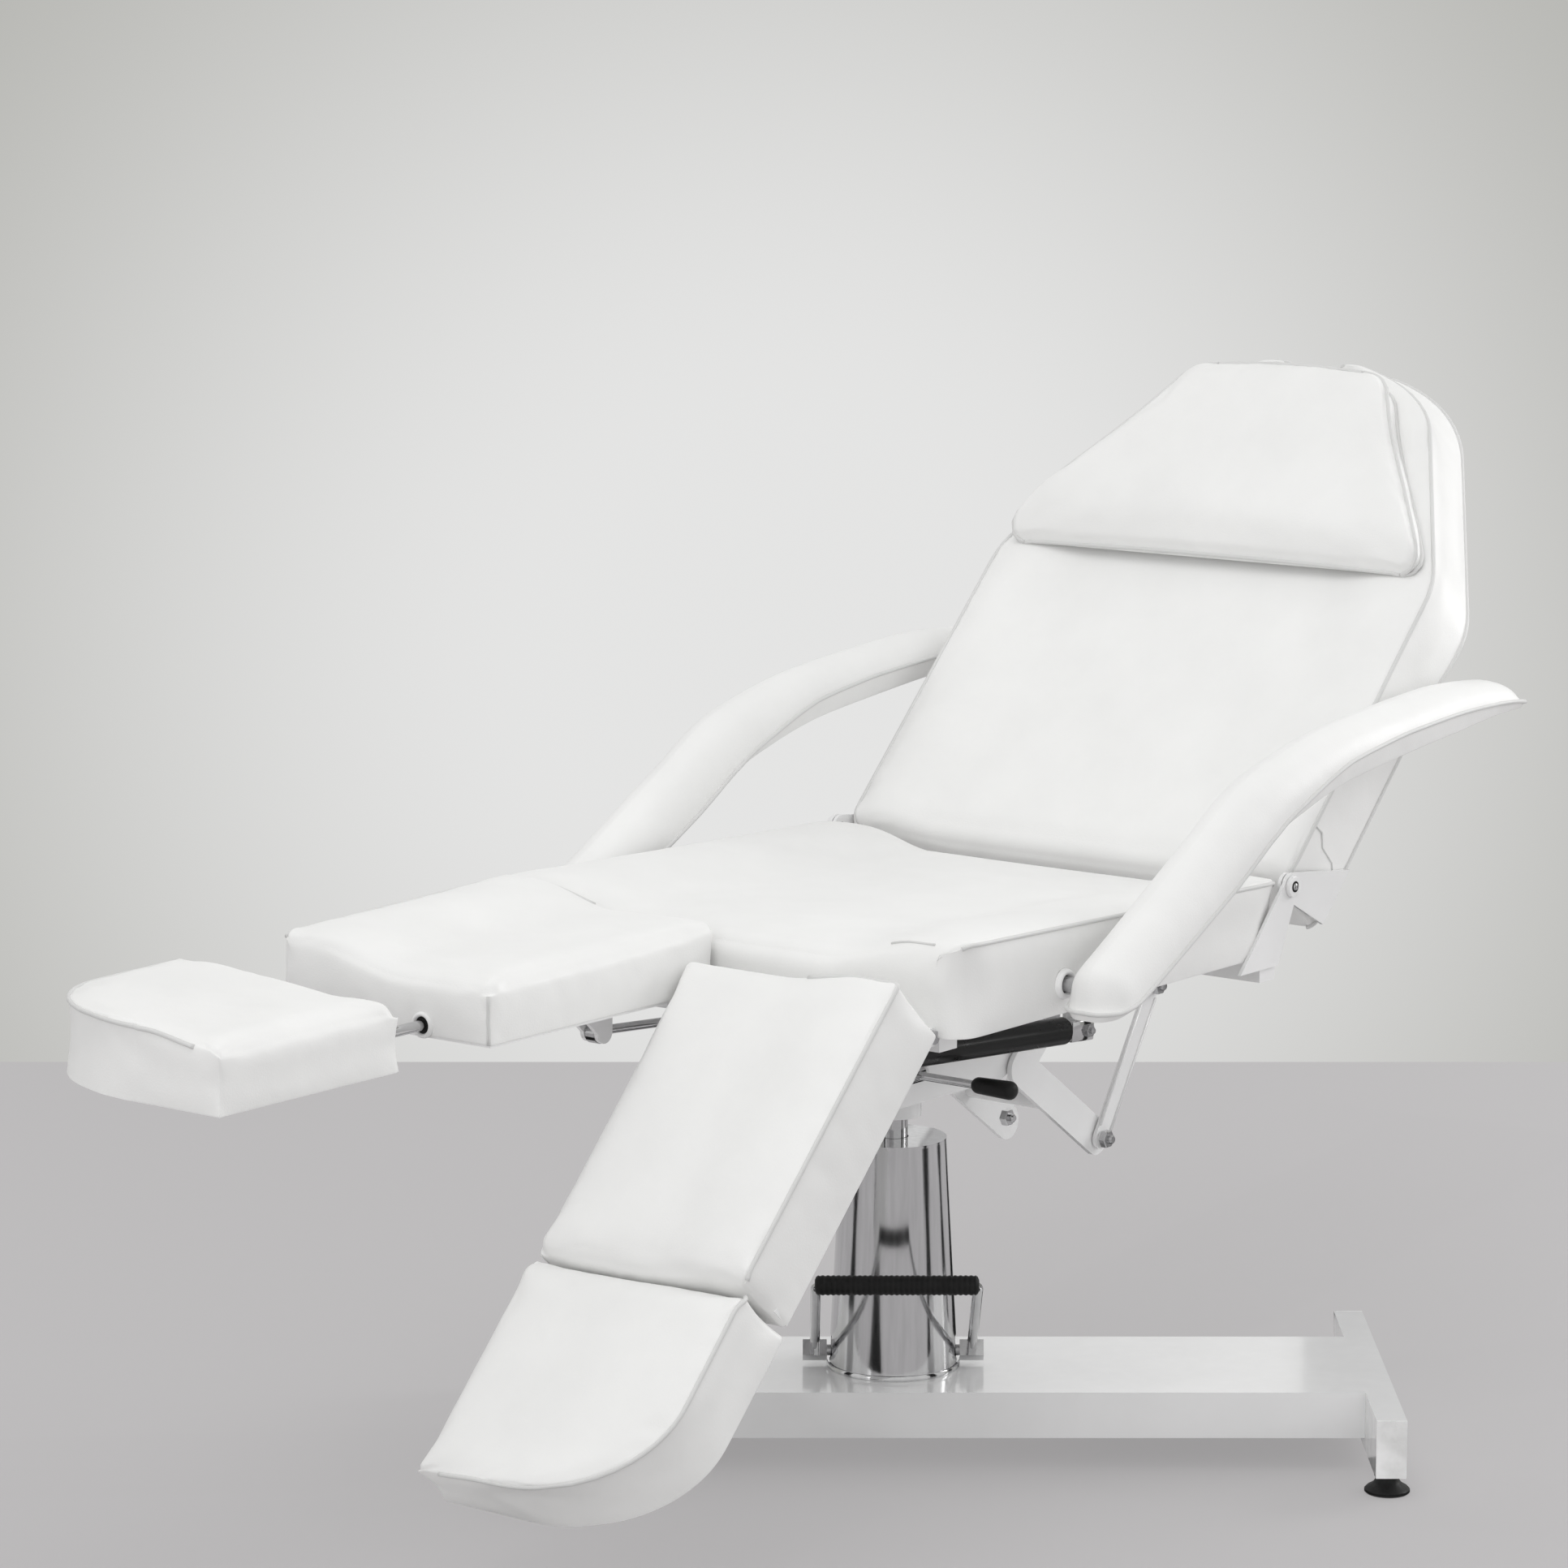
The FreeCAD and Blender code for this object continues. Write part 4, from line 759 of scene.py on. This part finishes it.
def make_foot(side, sign):
    place = LEGS[side]
    low, high = span(place, f"{side}_foot_cushion")
    inner, outer = sorted((low[1], high[1]), key=abs)
    first = low[0] - 0.006
    last = high[0] - 0.001
    inset = sign * 0.006
    piped_from = 2.04
    piped_to = 3.65

    def edges(x):
        cut = sign * corner_cut(last - x, LEG_CORNER, LEG_CORNER)
        sweep = sign * corner_cut(x - first, FOOT_REACH, FOOT_SWEEP)
        return inner + cut / 2, outer - inset - cut - sweep

    def under(x, y):
        return x, y + inset * (y - inner) / (outer - inner)

    height = leg_height(high[2] - 0.003, bolster=0.010, rise=(0.1, 0.9), slope=0.015, last=last)
    rolls = (0.006, 0.022, SOFT_ROLL, PIPED_ROLL)
    cover = Cover((first, last), edges, lambda x, gap: low[2], height, rolls, foot=under)
    seams = [cover.stretch(piped_from, piped_to)]
    add_cover(f"{side}_foot_cover", f"{side}_foot", cover, place, [f"{side}_foot_cushion"], seams)


# Armrests: a straight pad bent along the arm's line

ARM_STATIONS = (
    # joint, and from it: along X, up, then above the line the top, the seam and the underside
    ("arm", -0.043, -0.008, 0.026, -0.010, -0.019),
    ("arm", 0.001, 0.009, 0.030, -0.020, -0.026),
    ("arm", 0.171, 0.106, 0.030, -0.027, -0.032),
    ("elbow", -0.041, -0.043, 0.030, -0.026, -0.033),
    ("elbow", 0.024, -0.022, 0.028, -0.018, -0.031),
    ("elbow", 0.109, -0.004, 0.026, -0.006, -0.028),
    ("elbow", 0.219, 0.007, 0.026, 0.000, -0.025),
    ("elbow", 0.339, 0.016, 0.026, 0.000, -0.022),
    ("elbow", 0.439, 0.018, 0.020, -0.002, -0.014),
    ("elbow", 0.503, 0.011, 0.010, -0.003, -0.008),
)
TOP_COLUMN = 3
SEAM_COLUMN = 4
UNDER_COLUMN = 5
ARM_OUT = 0.007
ARM_FINENESS = 8


def arm_line():
    """Points along the arm in the frame's XZ plane, and where each station lies along it."""
    joints = {"arm": ARM_FOOT, "elbow": ELBOW}
    knots = []
    for joint, along, up, *levels in ARM_STATIONS:
        knots.append(Vector((joints[joint].x + along, joints[joint].z + up)))
    knots = [knots[0] * 2 - knots[1], *knots, knots[-1] * 2 - knots[-2]]
    route, marks, length = [], [], 0.0
    for before, start, end, after in zip(knots, knots[1:], knots[2:], knots[3:]):
        marks.append(len(route))
        for step in range(ARM_FINENESS):
            t = step / ARM_FINENESS
            bend = 2 * before - 5 * start + 4 * end - after
            twist = 3 * (start - end) + after - before
            route.append(start + t * (end - before) / 2 + t * t * bend / 2 + t ** 3 * twist / 2)
    marks.append(len(route))
    route.append(knots[-2])
    lengths = [0.0]
    for start, end in zip(route, route[1:]):
        length += (end - start).length
        lengths.append(length)
    return route, lengths, [lengths[mark] for mark in marks]


ARM_ROUTE, ARM_LENGTHS, ARM_MARKS = arm_line()


def arm_level(x, column):
    return float(np.interp(x, ARM_MARKS, [station[column] for station in ARM_STATIONS]))


def on_arm(point):
    """Moves a point from the straight pad, with X along it and Z up, to the bent arm."""
    x, y, z = point
    places = np.array(ARM_ROUTE)
    reach = 0.01

    def on_line(x):
        return Vector([np.interp(x, ARM_LENGTHS, places[:, axis]) for axis in range(2)])

    base = on_line(x)
    along = (on_line(x + reach) - on_line(x - reach)).normalized()
    return Vector((base.x - along.y * z, y, base.y + along.x * z))


def make_arm(side, sign):
    pads = [f"{side}_lower_arm_pad", f"{side}_upper_arm_pad"]
    bars = [f"{side}_lower_arm_bar", f"{side}_upper_arm_bar"]
    low, high = span(LEVEL, *pads)
    inner, outer = (edge + sign * ARM_OUT for edge in sorted((low[1], high[1]), key=abs))
    middle = (inner + outer) / 2
    length = ARM_MARKS[-1]
    tip = 0.034
    far_tip = 0.06
    tuck = 0.006
    roll = abs(outer - inner) / 2 * 0.97
    crossing = 0.08

    def edges(x):
        cut = sign * (corner_cut(x, tip, 0.8 * tip) + corner_cut(length - x, far_tip, 0.75 * tip))
        return inner + cut, outer - cut

    def under(x, y):
        return x, middle + (y - middle) * (1 - 2 * tuck / (outer - inner) * sign)

    def top(x, share):
        return arm_level(x, TOP_COLUMN)

    def underside(x, gap):
        return arm_level(x, UNDER_COLUMN)

    def fall(x):
        return arm_level(x, TOP_COLUMN) - arm_level(x, SEAM_COLUMN)

    rolls = (tip, far_tip, roll, roll)
    cover = Cover((0.0, length), edges, underside, top, rolls, fall=fall, foot=under, draw=0)
    turn = joint_point(f"{side}_elbow_turn")
    near = turn - crossing * (ELBOW - ARM_FOOT).normalized()
    far = turn + crossing * (BACK_HINGE - ARM_FOOT).normalized()
    body = (f"{side}_lower_arm", f"{side}_upper_arm", near, far)
    add_cover(
        f"{side}_arm_cover", body, cover, LEVEL, pads + bars, [cover.stretch(0, 4)], bend=on_arm, slack=0.001,
        cap=0.0015)


make_seat()
make_back()
make_pillow()
for side, sign in SIDES:
    make_calf(side, sign)
    make_foot(side, sign)
    make_arm(side, sign)
swell(covers)
for entry in covers:
    finish_cover(entry)


# Fittings

def rounded(radius, length, edge):
    """A (height, radius) profile of a rod with rounded ends."""
    turn = [math.pi / 2 * step / 5 for step in range(6)]
    head = [(edge * (1 - math.cos(t)), radius - edge * (1 - math.sin(t))) for t in turn]
    tail = [(length - height, width) for height, width in reversed(head)]
    return [(0, 0), *head, *tail, (length, 0)]


def hex_nut(place, radius, height, bore):
    """A six-sided nut with a bolt's round end standing out of it."""
    bolt = height * 1.7
    nut = [(0, 0), (0, radius), (height * 0.85, radius), (height, radius * 0.9), (height, 0)]
    stud = [(0, 0), (0, bore), (height * 1.5, bore), (bolt, bore * 0.75), (bolt, 0)]
    return merged([turned(nut, place, sides=6), turned(stud, place, sides=24)])


def outward(x, y, z):
    """Places on the left and on the right, a distance y from the middle, with Z pointing outward."""
    return [facing((x, sign * y, z), (0, sign, 0)) for side, sign in SIDES]


def make_eyelets(name, body, spots, outer, hole, height, dark, place=LEVEL):
    """White rings with a rounded face, each round a thin dark disc that is painted shade for the hollow of the
    hole.
    """
    crown = (outer + hole) / 2
    half_width = (outer - hole) / 2
    turns = [math.pi * step / 8 for step in range(9)]
    face = [(height * math.sin(turn), crown - half_width * math.cos(turn)) for turn in turns]
    ring = [(0.0, hole), *face, (0.0, outer)]
    thin = 0.0012
    # dark is the radius of a black disc of painted shade that fills each ring's hole.
    disc = [(0, 0), (0, dark), (thin, dark), (thin, 0)]
    rims = [turned(ring, spot, ends=False) for spot in spots]
    hole_shades = [turned(disc, spot) for spot in spots]
    rim = new_piece(f"{name}s", rims, body, "white_plastic", place=place)
    new_piece(f"{name}_holes", hole_shades, body, "black_rubber", sharp=40, place=place)
    return rim


def rod_spots(low, high, x, toward):
    """Places on the middle lines of the two rods in a box, at x along them."""
    radius = (high[2] - low[2]) / 2
    return [facing((x, y, low[2] + radius), (toward, 0, 0)) for y in (low[1] + radius, high[1] - radius)]


def make_leg_grommets(side):
    """White eyelets where the foot rest's rods enter the end of the calf rest, with dark discs as painted shade in
    the openings.
    """
    place = LEGS[side]
    low, high = span(place, f"{side}_foot_rods")
    proud = 0.0005
    face = span(place, f"{side}_calf_cushion")[0][0] - proud
    rod = (high[2] - low[2]) / 2
    make_eyelets(
        f"{side}_calf_eyelet", f"{side}_leg", rod_spots(low, high, face, -1), outer=0.0135,
        hole=rod + 0.003, height=0.004, dark=rod + 0.0045, place=place)


def make_arm_grommets():
    """White eyelets on the seat's sides with a dark disc for the arm's pivot: painted shade of the hole."""
    low, high = span(LEVEL, "arm_grommets")
    outer = (high[0] - low[0]) / 2
    centre = (low + high) / 2
    sunk = 0.004
    rim = make_eyelets(
        "arm_eyelet", "carrier", outward(centre[0], high[1] - sunk, centre[2]), outer,
        hole=outer * 0.55, height=0.006, dark=outer * 0.62)
    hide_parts("arm_grommets")


def make_hinge_bolts():
    """Domed bolt heads on dark washers, at the ends of the back hinge."""
    edge = span(LEVEL, "back_hinge_bolts")[1][1]
    cap = [(-0.0035, 0), (-0.0035, 0.0118), (0.0003, 0.0114), (0.0006, 0.0106), (0.0006, 0)]
    washer = [(0, 0), (0, 0.0062), (0.0011, 0.006), (0.0011, 0)]
    dome = [(0, 0), (0, 0.0042), (0.0016, 0.004), (0.0026, 0.003), (0.003, 0.0012), (0.003, 0)]
    spots = outward(BACK_HINGE.x, edge, BACK_HINGE.z)
    for name, profile, slot in (
            ("hinge_bolt_covers", cap, "white_paint"), ("hinge_bolt_washers", washer, "black_paint"),
            ("hinge_bolt_heads", dome, "chrome")):
        new_piece(name, [turned(profile, spot) for spot in spots], "carrier", slot, sharp=40)


def make_lever_grip():
    """A moulded grip with rounded ends, thicker towards its end."""
    low, high = span(LEVEL, "lock_lever_grip")
    centre = (low + high) / 2
    radius = (high[2] - low[2]) / 2
    length = high[1] - low[1] + 0.005
    neck = 0.86
    gain = 0.16
    profile = rounded(radius, length, radius * 0.8)
    profile = [(height, width * (neck + gain * height / length)) for height, width in profile]
    grip = new_piece(
        "lever_grip_cover", [turned(profile)], "lock_lever", "black_plastic",
        place=facing((centre[0], high[1], centre[2]), (0, -1, 0)))
    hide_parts("lock_lever_grip")


def make_pedal_grip():
    """A ribbed rubber sleeve on the pedal's bar."""
    low, high = span(BASE, "pedal_grip")
    centre = (low + high) / 2
    radius = (high[2] - low[2]) / 2
    end = 0.013
    length = high[0] - low[0] + 2 * end
    rib = 0.0055
    rib_shape = ((0.1, 0.93), (0.35, 1.0), (0.65, 1.0), (0.9, 0.93))
    count = int(length / rib)
    profile = [(0, 0), (0, radius * 0.55), (rib * 0.25, radius * 0.85)]
    for index in range(count):
        for share, width in rib_shape:
            place = length * (index + share) / count
            if rib * 0.5 < place < length - rib * 0.5:
                profile.append((place, radius * width))
    profile += [(length - rib * 0.25, radius * 0.85), (length, radius * 0.55), (length, 0)]
    spot = BASE @ facing((low[0] - end, centre[1], centre[2]), (1, 0, 0))
    sleeve = [turned(profile, sides=28)]
    grip = new_piece("pedal_grip_sleeve", sleeve, "pedal", "black_rubber", sharp=50, place=spot)
    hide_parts("pedal_grip")


def make_levelling_feet():
    """Flared feet with a collar, under the ends of the crossbars."""
    low, high = span(BASE, "levelling_feet")
    radius = 0.024
    height = high[2] - low[2]
    shape = [
        (0, 0.93), (0.06, 1), (0.16, 1), (0.26, 0.9), (0.4, 0.66), (0.54, 0.54), (0.72, 0.5), (0.74, 0.58),
        (0.94, 0.58), (1, 0.46)]
    profile = [(0, 0), *((height * up, radius * out) for up, out in shape), (height, 0)]
    feet = []
    for x in (low[0] + radius, high[0] - radius):
        for y in (low[1] + radius, high[1] - radius):
            feet.append(turned(profile, BASE @ Matrix.Translation((x, y, low[2]))))
    piece = new_piece("levelling_foot_pads", feet, "base", "black_plastic", sharp=35)
    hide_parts("levelling_feet")


def make_link_nuts():
    """Nuts on the crank's and the horns' pins, and the straps' turned edges."""
    tip = joint_point("link_turn")
    horn = BACK_HINGE + (tip - joint_point("crank_turn"))
    outside = span(LEVEL, "link_straps")[1][1]
    pin_end = span(LEVEL, "crank")[1][1]
    across = (horn - tip).normalized().cross(Y_AXIS)
    half_strap = (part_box("link_straps")[1].x - horn.x) * 0.92
    lip = 0.0018
    lip_start = 0.06
    for name, point, body in (("crank_nuts", tip, "crank"), ("horn_nuts", horn, "backrest")):
        spots = outward(point.x, pin_end, point.z)
        nuts = [hex_nut(spot, radius=0.0105, height=0.0075, bore=0.005) for spot in spots]
        new_piece(name, nuts, body, "steel", sharp=30)
    lips = []
    for side, sign in SIDES:
        for edge in (-1, 1):
            shift = across * edge * half_strap + Y_AXIS * sign * outside
            start = Vector((tip.x, 0, tip.z)) + shift
            end = Vector((horn.x, 0, horn.z)) + shift
            lips.append(tube([start.lerp(end, lip_start), start.lerp(end, 1 - lip_start)], lip))
    new_piece("strap_lips", lips, "link", "white_paint")


def block(low, high, edge, place):
    """A box with all its edges rounded over."""
    form = bmesh.new()
    bmesh.ops.create_cube(form, size=1)
    centre = (Vector(low) + Vector(high)) / 2
    size = Vector(high) - Vector(low)
    for vertex in form.verts:
        vertex.co = centre + vertex.co * size
    bmesh.ops.bevel(form, geom=form.edges, offset=edge, segments=2, affect="EDGES", profile=0.5)
    form.verts.index_update()
    points = [place @ vertex.co for vertex in form.verts]
    faces = [[vertex.index for vertex in face.verts] for face in form.faces]
    form.free()
    return points, faces


def make_strut_ends():
    """Bright fork ends with bolts where the gas struts meet their anchors."""
    low, high = span(LEVEL, "strut_anchors")
    half_eye = (high[0] - low[0]) / 2
    pin = Vector((low[0] + half_eye, 0, low[2] + half_eye))
    cylinder_radius = 0.015
    middle = span(LEVEL, "gas_cylinders")[1][1] - cylinder_radius
    near = (-0.03, -0.014, -0.0115)
    far = (0.012, 0.014, 0.0115)
    sunk = 0.0002
    head = middle + far[1] - sunk
    line = axes(pin, STRUT_LINE)
    places = [Matrix.Translation((0, sign * middle, 0)) @ line for side, sign in SIDES]
    forks = [block(near, far, 0.002, place) for place in places]
    bolts = [hex_nut(spot, radius=0.0075, height=0.005, bore=0.0036) for spot in outward(pin.x, head, pin.z)]
    new_piece("strut_forks", forks, "carrier", "chrome", sharp=35)
    new_piece("strut_bolts", bolts, "carrier", "steel", sharp=30)


def make_column_trim():
    """A turned lip at the foot of the column cover."""
    low, high = span(LEVEL, "column_cover")
    section = [(0, -0.001), (0, 0.0022), (0.003, 0.0026), (0.0055, 0.0012), (0.006, -0.001)]
    lip = turned([(low[2] + up, high[0] + out) for up, out in section], sides=96, ends=False)
    new_piece("column_lip", [lip], "base", "column_steel", sharp=40)


def make_foot_rods(side):
    """The rods that the foot rest slides on, from inside the calf rest to inside the foot rest."""
    place = LEGS[side]
    low, high = span(place, f"{side}_foot_rods")
    radius = (high[2] - low[2]) / 2
    inside = 0.03
    start = low[0] + inside
    profile = rounded(radius, high[0] - start, radius * 0.2)
    rods = [turned(profile, spot) for spot in rod_spots(low, high, start, 1)]
    piece = new_piece(f"{side}_foot_slides", rods, f"{side}_foot", "chrome", sharp=40, place=place)
    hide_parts(f"{side}_foot_rods")


def make_arm_pegs():
    """Round pegs that carry the arm pads' rear ends on the sides of the back."""
    up = 0.325
    depth = 0.078
    sunk = 0.01
    spot = BACK @ Vector((up, 0, -depth))
    inner = span(BACK, "back_cushion")[1][1] - sunk
    profile = rounded(radius=0.009, length=0.055, edge=0.002)
    pegs = [turned(profile, place) for place in outward(spot.x, inner, spot.z)]
    piece = new_piece("arm_pegs", pegs, "backrest", "steel", sharp=40)
    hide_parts("back_arm_blocks")


def make_crank_nuts():
    """Bright nuts below the crank's arms, standing free of its plates."""
    setback = 0.085
    fall = 0.098
    pin_show = 0.009
    face = span(LEVEL, "crank")[1][1] - pin_show
    pivot = joint_point("crank_turn")
    spots = outward(pivot.x - setback, face, pivot.z - fall)
    nuts = [hex_nut(spot, radius=0.0095, height=0.008, bore=0.0045) for spot in spots]
    new_piece("crank_corner_nuts", nuts, "crank", "chrome", sharp=30)


make_arm_grommets()
make_hinge_bolts()
make_lever_grip()
make_pedal_grip()
make_levelling_feet()
make_link_nuts()
make_strut_ends()
make_column_trim()
make_arm_pegs()
make_crank_nuts()
for side, sign in SIDES:
    make_leg_grommets(side)
    make_foot_rods(side)


# Finishes on the CAD nodes

slots = {entry["node"]: entry["material_slot"] for entry in frame["record"]["subparts"]}
for name, node in NODES.items():
    node.data.materials.clear()
    node.data.materials.append(FINISHES[slots[name]])


# Stage: pale floor, a wall with a soft glow, studio light and the camera

EYE = Vector((-4.42, -3.308, 1.636))
HEADING = math.radians(38.04)
TILT = math.radians(9.37)
LENS = 120.5
SENSOR = 36
WALL_DISTANCE = 7.44
AHEAD = Vector((math.cos(HEADING), math.sin(HEADING), 0))
FLOOR_COLOR = (0.52, 0.511, 0.514)
FLOOR_GLOW = (0.515, 0.503, 0.508, 1)
GLOW_SHARE = 0.6
WALL_HEIGHT = 0.6
WALL_BRIGHT = (0.78, 0.78, 0.775, 1)
WALL_DIM = (0.45, 0.449, 0.425, 1)
BACKDROP = (0.72, 0.72, 0.71, 1)
# How far the dark cards stand round from behind the camera, in degrees, and their widths
CARDS = ((-32, 0.5), (70, 0.42), (112, 0.4), (-84, 0.45), (150, 0.6))


def stage_plane(name, width, height, place):
    x, y = width / 2, height / 2
    mesh = bpy.data.meshes.new(name)
    mesh.from_pydata([(-x, -y, 0), (x, -y, 0), (x, y, 0), (-x, y, 0)], [], [(0, 1, 2, 3)])
    plane = add_object(name, mesh)
    plane.matrix_world = place
    return plane


def math_node(tree, operation, first, second):
    node = add_node(tree, "Math", {"operation": operation})
    feed(tree, node.inputs[0], first)
    feed(tree, node.inputs[1], second)
    return node.outputs["Value"]


def seen_rays(tree):
    """1 for the camera's rays and for those that metal or glass passes on, 0 for the rest."""
    path = add_node(tree, "LightPath")
    seen = path.outputs["Is Camera Ray"]
    for ray in ("Is Glossy Ray", "Is Transmission Ray"):
        seen = math_node(tree, "MAXIMUM", seen, path.outputs[ray])
    return seen


def mix_shaders(tree, share, first, second, end="Material Output"):
    """Ends a tree with a mix of two nodes' shaders."""
    mix = add_node(tree, "MixShader", Fac=share)
    tree.links.new(first.outputs[0], mix.inputs[1])
    tree.links.new(second.outputs[0], mix.inputs[2])
    plug(tree, tree.nodes[end], Surface=mix.outputs["Shader"])


def make_floor():
    """A pale floor whose tone is partly its own, so that the camera sees it evenly lit."""
    floor = stage_plane("floor", 30, 30, LEVEL)
    material, tree, shader = new_material("pale_floor", FLOOR_COLOR, roughness=0.8, specular=0.1)
    even = add_node(tree, "Emission", Color=FLOOR_GLOW)
    mix_shaders(tree, math_node(tree, "MULTIPLY", seen_rays(tree), GLOW_SHARE), shader, even)
    floor.data.materials.append(material)


def make_wall():
    """A wall that glows softly behind the chair, and is clear from behind."""
    centre = EYE + AHEAD * WALL_DISTANCE
    wall = stage_plane("wall", 24, 24, facing((centre.x, centre.y, WALL_HEIGHT), -AHEAD))
    material = bpy.data.materials.new("glowing_wall")
    material.use_nodes = True
    tree = material.node_tree
    tree.nodes.remove(tree.nodes["Principled BSDF"])
    place = add_node(tree, "TexCoord")
    length = add_node(tree, "VectorMath", {"operation": "LENGTH"}, Vector=place.outputs["Object"])
    reach = add_node(
        tree, "MapRange", {"interpolation_type": "SMOOTHSTEP"}, From_Min=0.3, From_Max=1.75,
        Value=length.outputs["Value"])
    glow = add_node(tree, "Emission", Color=mixed(tree, reach.outputs["Result"], WALL_BRIGHT, WALL_DIM))
    clear = add_node(tree, "BsdfTransparent")
    behind = add_node(tree, "NewGeometry")
    mix_shaders(tree, behind.outputs["Backfacing"], glow, clear)
    wall.data.materials.append(material)
    wall.visible_diffuse = False
    wall.visible_shadow = False


def make_cards():
    """Dark panels round the chair, and strips on the floor before them, that only polished metal mirrors."""
    dark = new_material("dark_card", (0.015, 0.015, 0.015), roughness=1.0, specular=0)[0]
    distance = 1.75
    height = 1.2
    start = 0.2
    above_floor = Vector((0, 0, 0.002))
    for index, (turn, width) in enumerate(CARDS):
        angle = HEADING + math.pi + math.radians(turn)
        out = Vector((math.cos(angle), math.sin(angle), 0))
        upright = facing(out * distance + Vector((0, 0, height / 2)), -out)
        flat = Matrix.Translation(out * (start + distance) / 2 + above_floor) @ Matrix.Rotation(angle, 4, "Z")
        card = stage_plane(f"dark_card_{index}", width, height, upright)
        strip = stage_plane(f"dark_strip_{index}", distance - start, width / 2, flat)
        for panel in (card, strip):
            panel.data.materials.append(dark)
            panel.visible_camera = False
            panel.visible_diffuse = False
            panel.visible_shadow = False


def make_world():
    """Even white light, a little stronger from above, and a pale backdrop where it is seen."""
    world = bpy.data.worlds.new("studio")
    world.use_nodes = True
    tree = world.node_tree
    place = add_node(tree, "TexCoord")
    direction = add_node(tree, "SeparateXYZ", Vector=place.outputs["Generated"])
    strength = add_node(
        tree, "MapRange", From_Min=0.0, From_Max=1.0, To_Min=0.74, To_Max=0.86, Value=direction.outputs["Z"])
    ambient = tree.nodes["Background"]
    plug(tree, ambient, Color=(1, 1, 1, 1), Strength=strength.outputs["Result"])
    shown = add_node(tree, "Background", Color=BACKDROP)
    mix_shaders(tree, seen_rays(tree), ambient, shown, end="World Output")
    scene.world = world


def make_lamp(name, place, aim, size, power):
    data = bpy.data.lights.new(name, "AREA")
    data.shape = "DISK"
    data.size = size
    data.energy = power
    lamp = add_object(name, data)
    lamp.location = place
    lamp.rotation_euler = (Vector(aim) - Vector(place)).to_track_quat("-Z", "Y").to_euler()


def make_camera():
    data = bpy.data.cameras.new("camera")
    data.lens = LENS
    data.sensor_width = SENSOR
    camera = add_object("camera", data)
    ahead = AHEAD * math.cos(TILT) - Vector((0, 0, math.sin(TILT)))
    camera.location = EYE
    camera.rotation_euler = ahead.to_track_quat("-Z", "Y").to_euler()
    scene.camera = camera


make_floor()
make_wall()
make_cards()
make_world()
make_lamp("key_light", place=(-1.2, -0.6, 4.0), aim=(0, 0, 0.6), size=2.6, power=22)
make_lamp("fill_light", place=(-4.0, -0.4, 1.0), aim=(-0.4, 0, 0.5), size=2.0, power=12)
make_lamp("side_light", place=(3.2, -1.8, 1.6), aim=(0.3, -0.3, 0.05), size=1.8, power=40)
make_camera()
scene.view_settings.view_transform = "Standard"
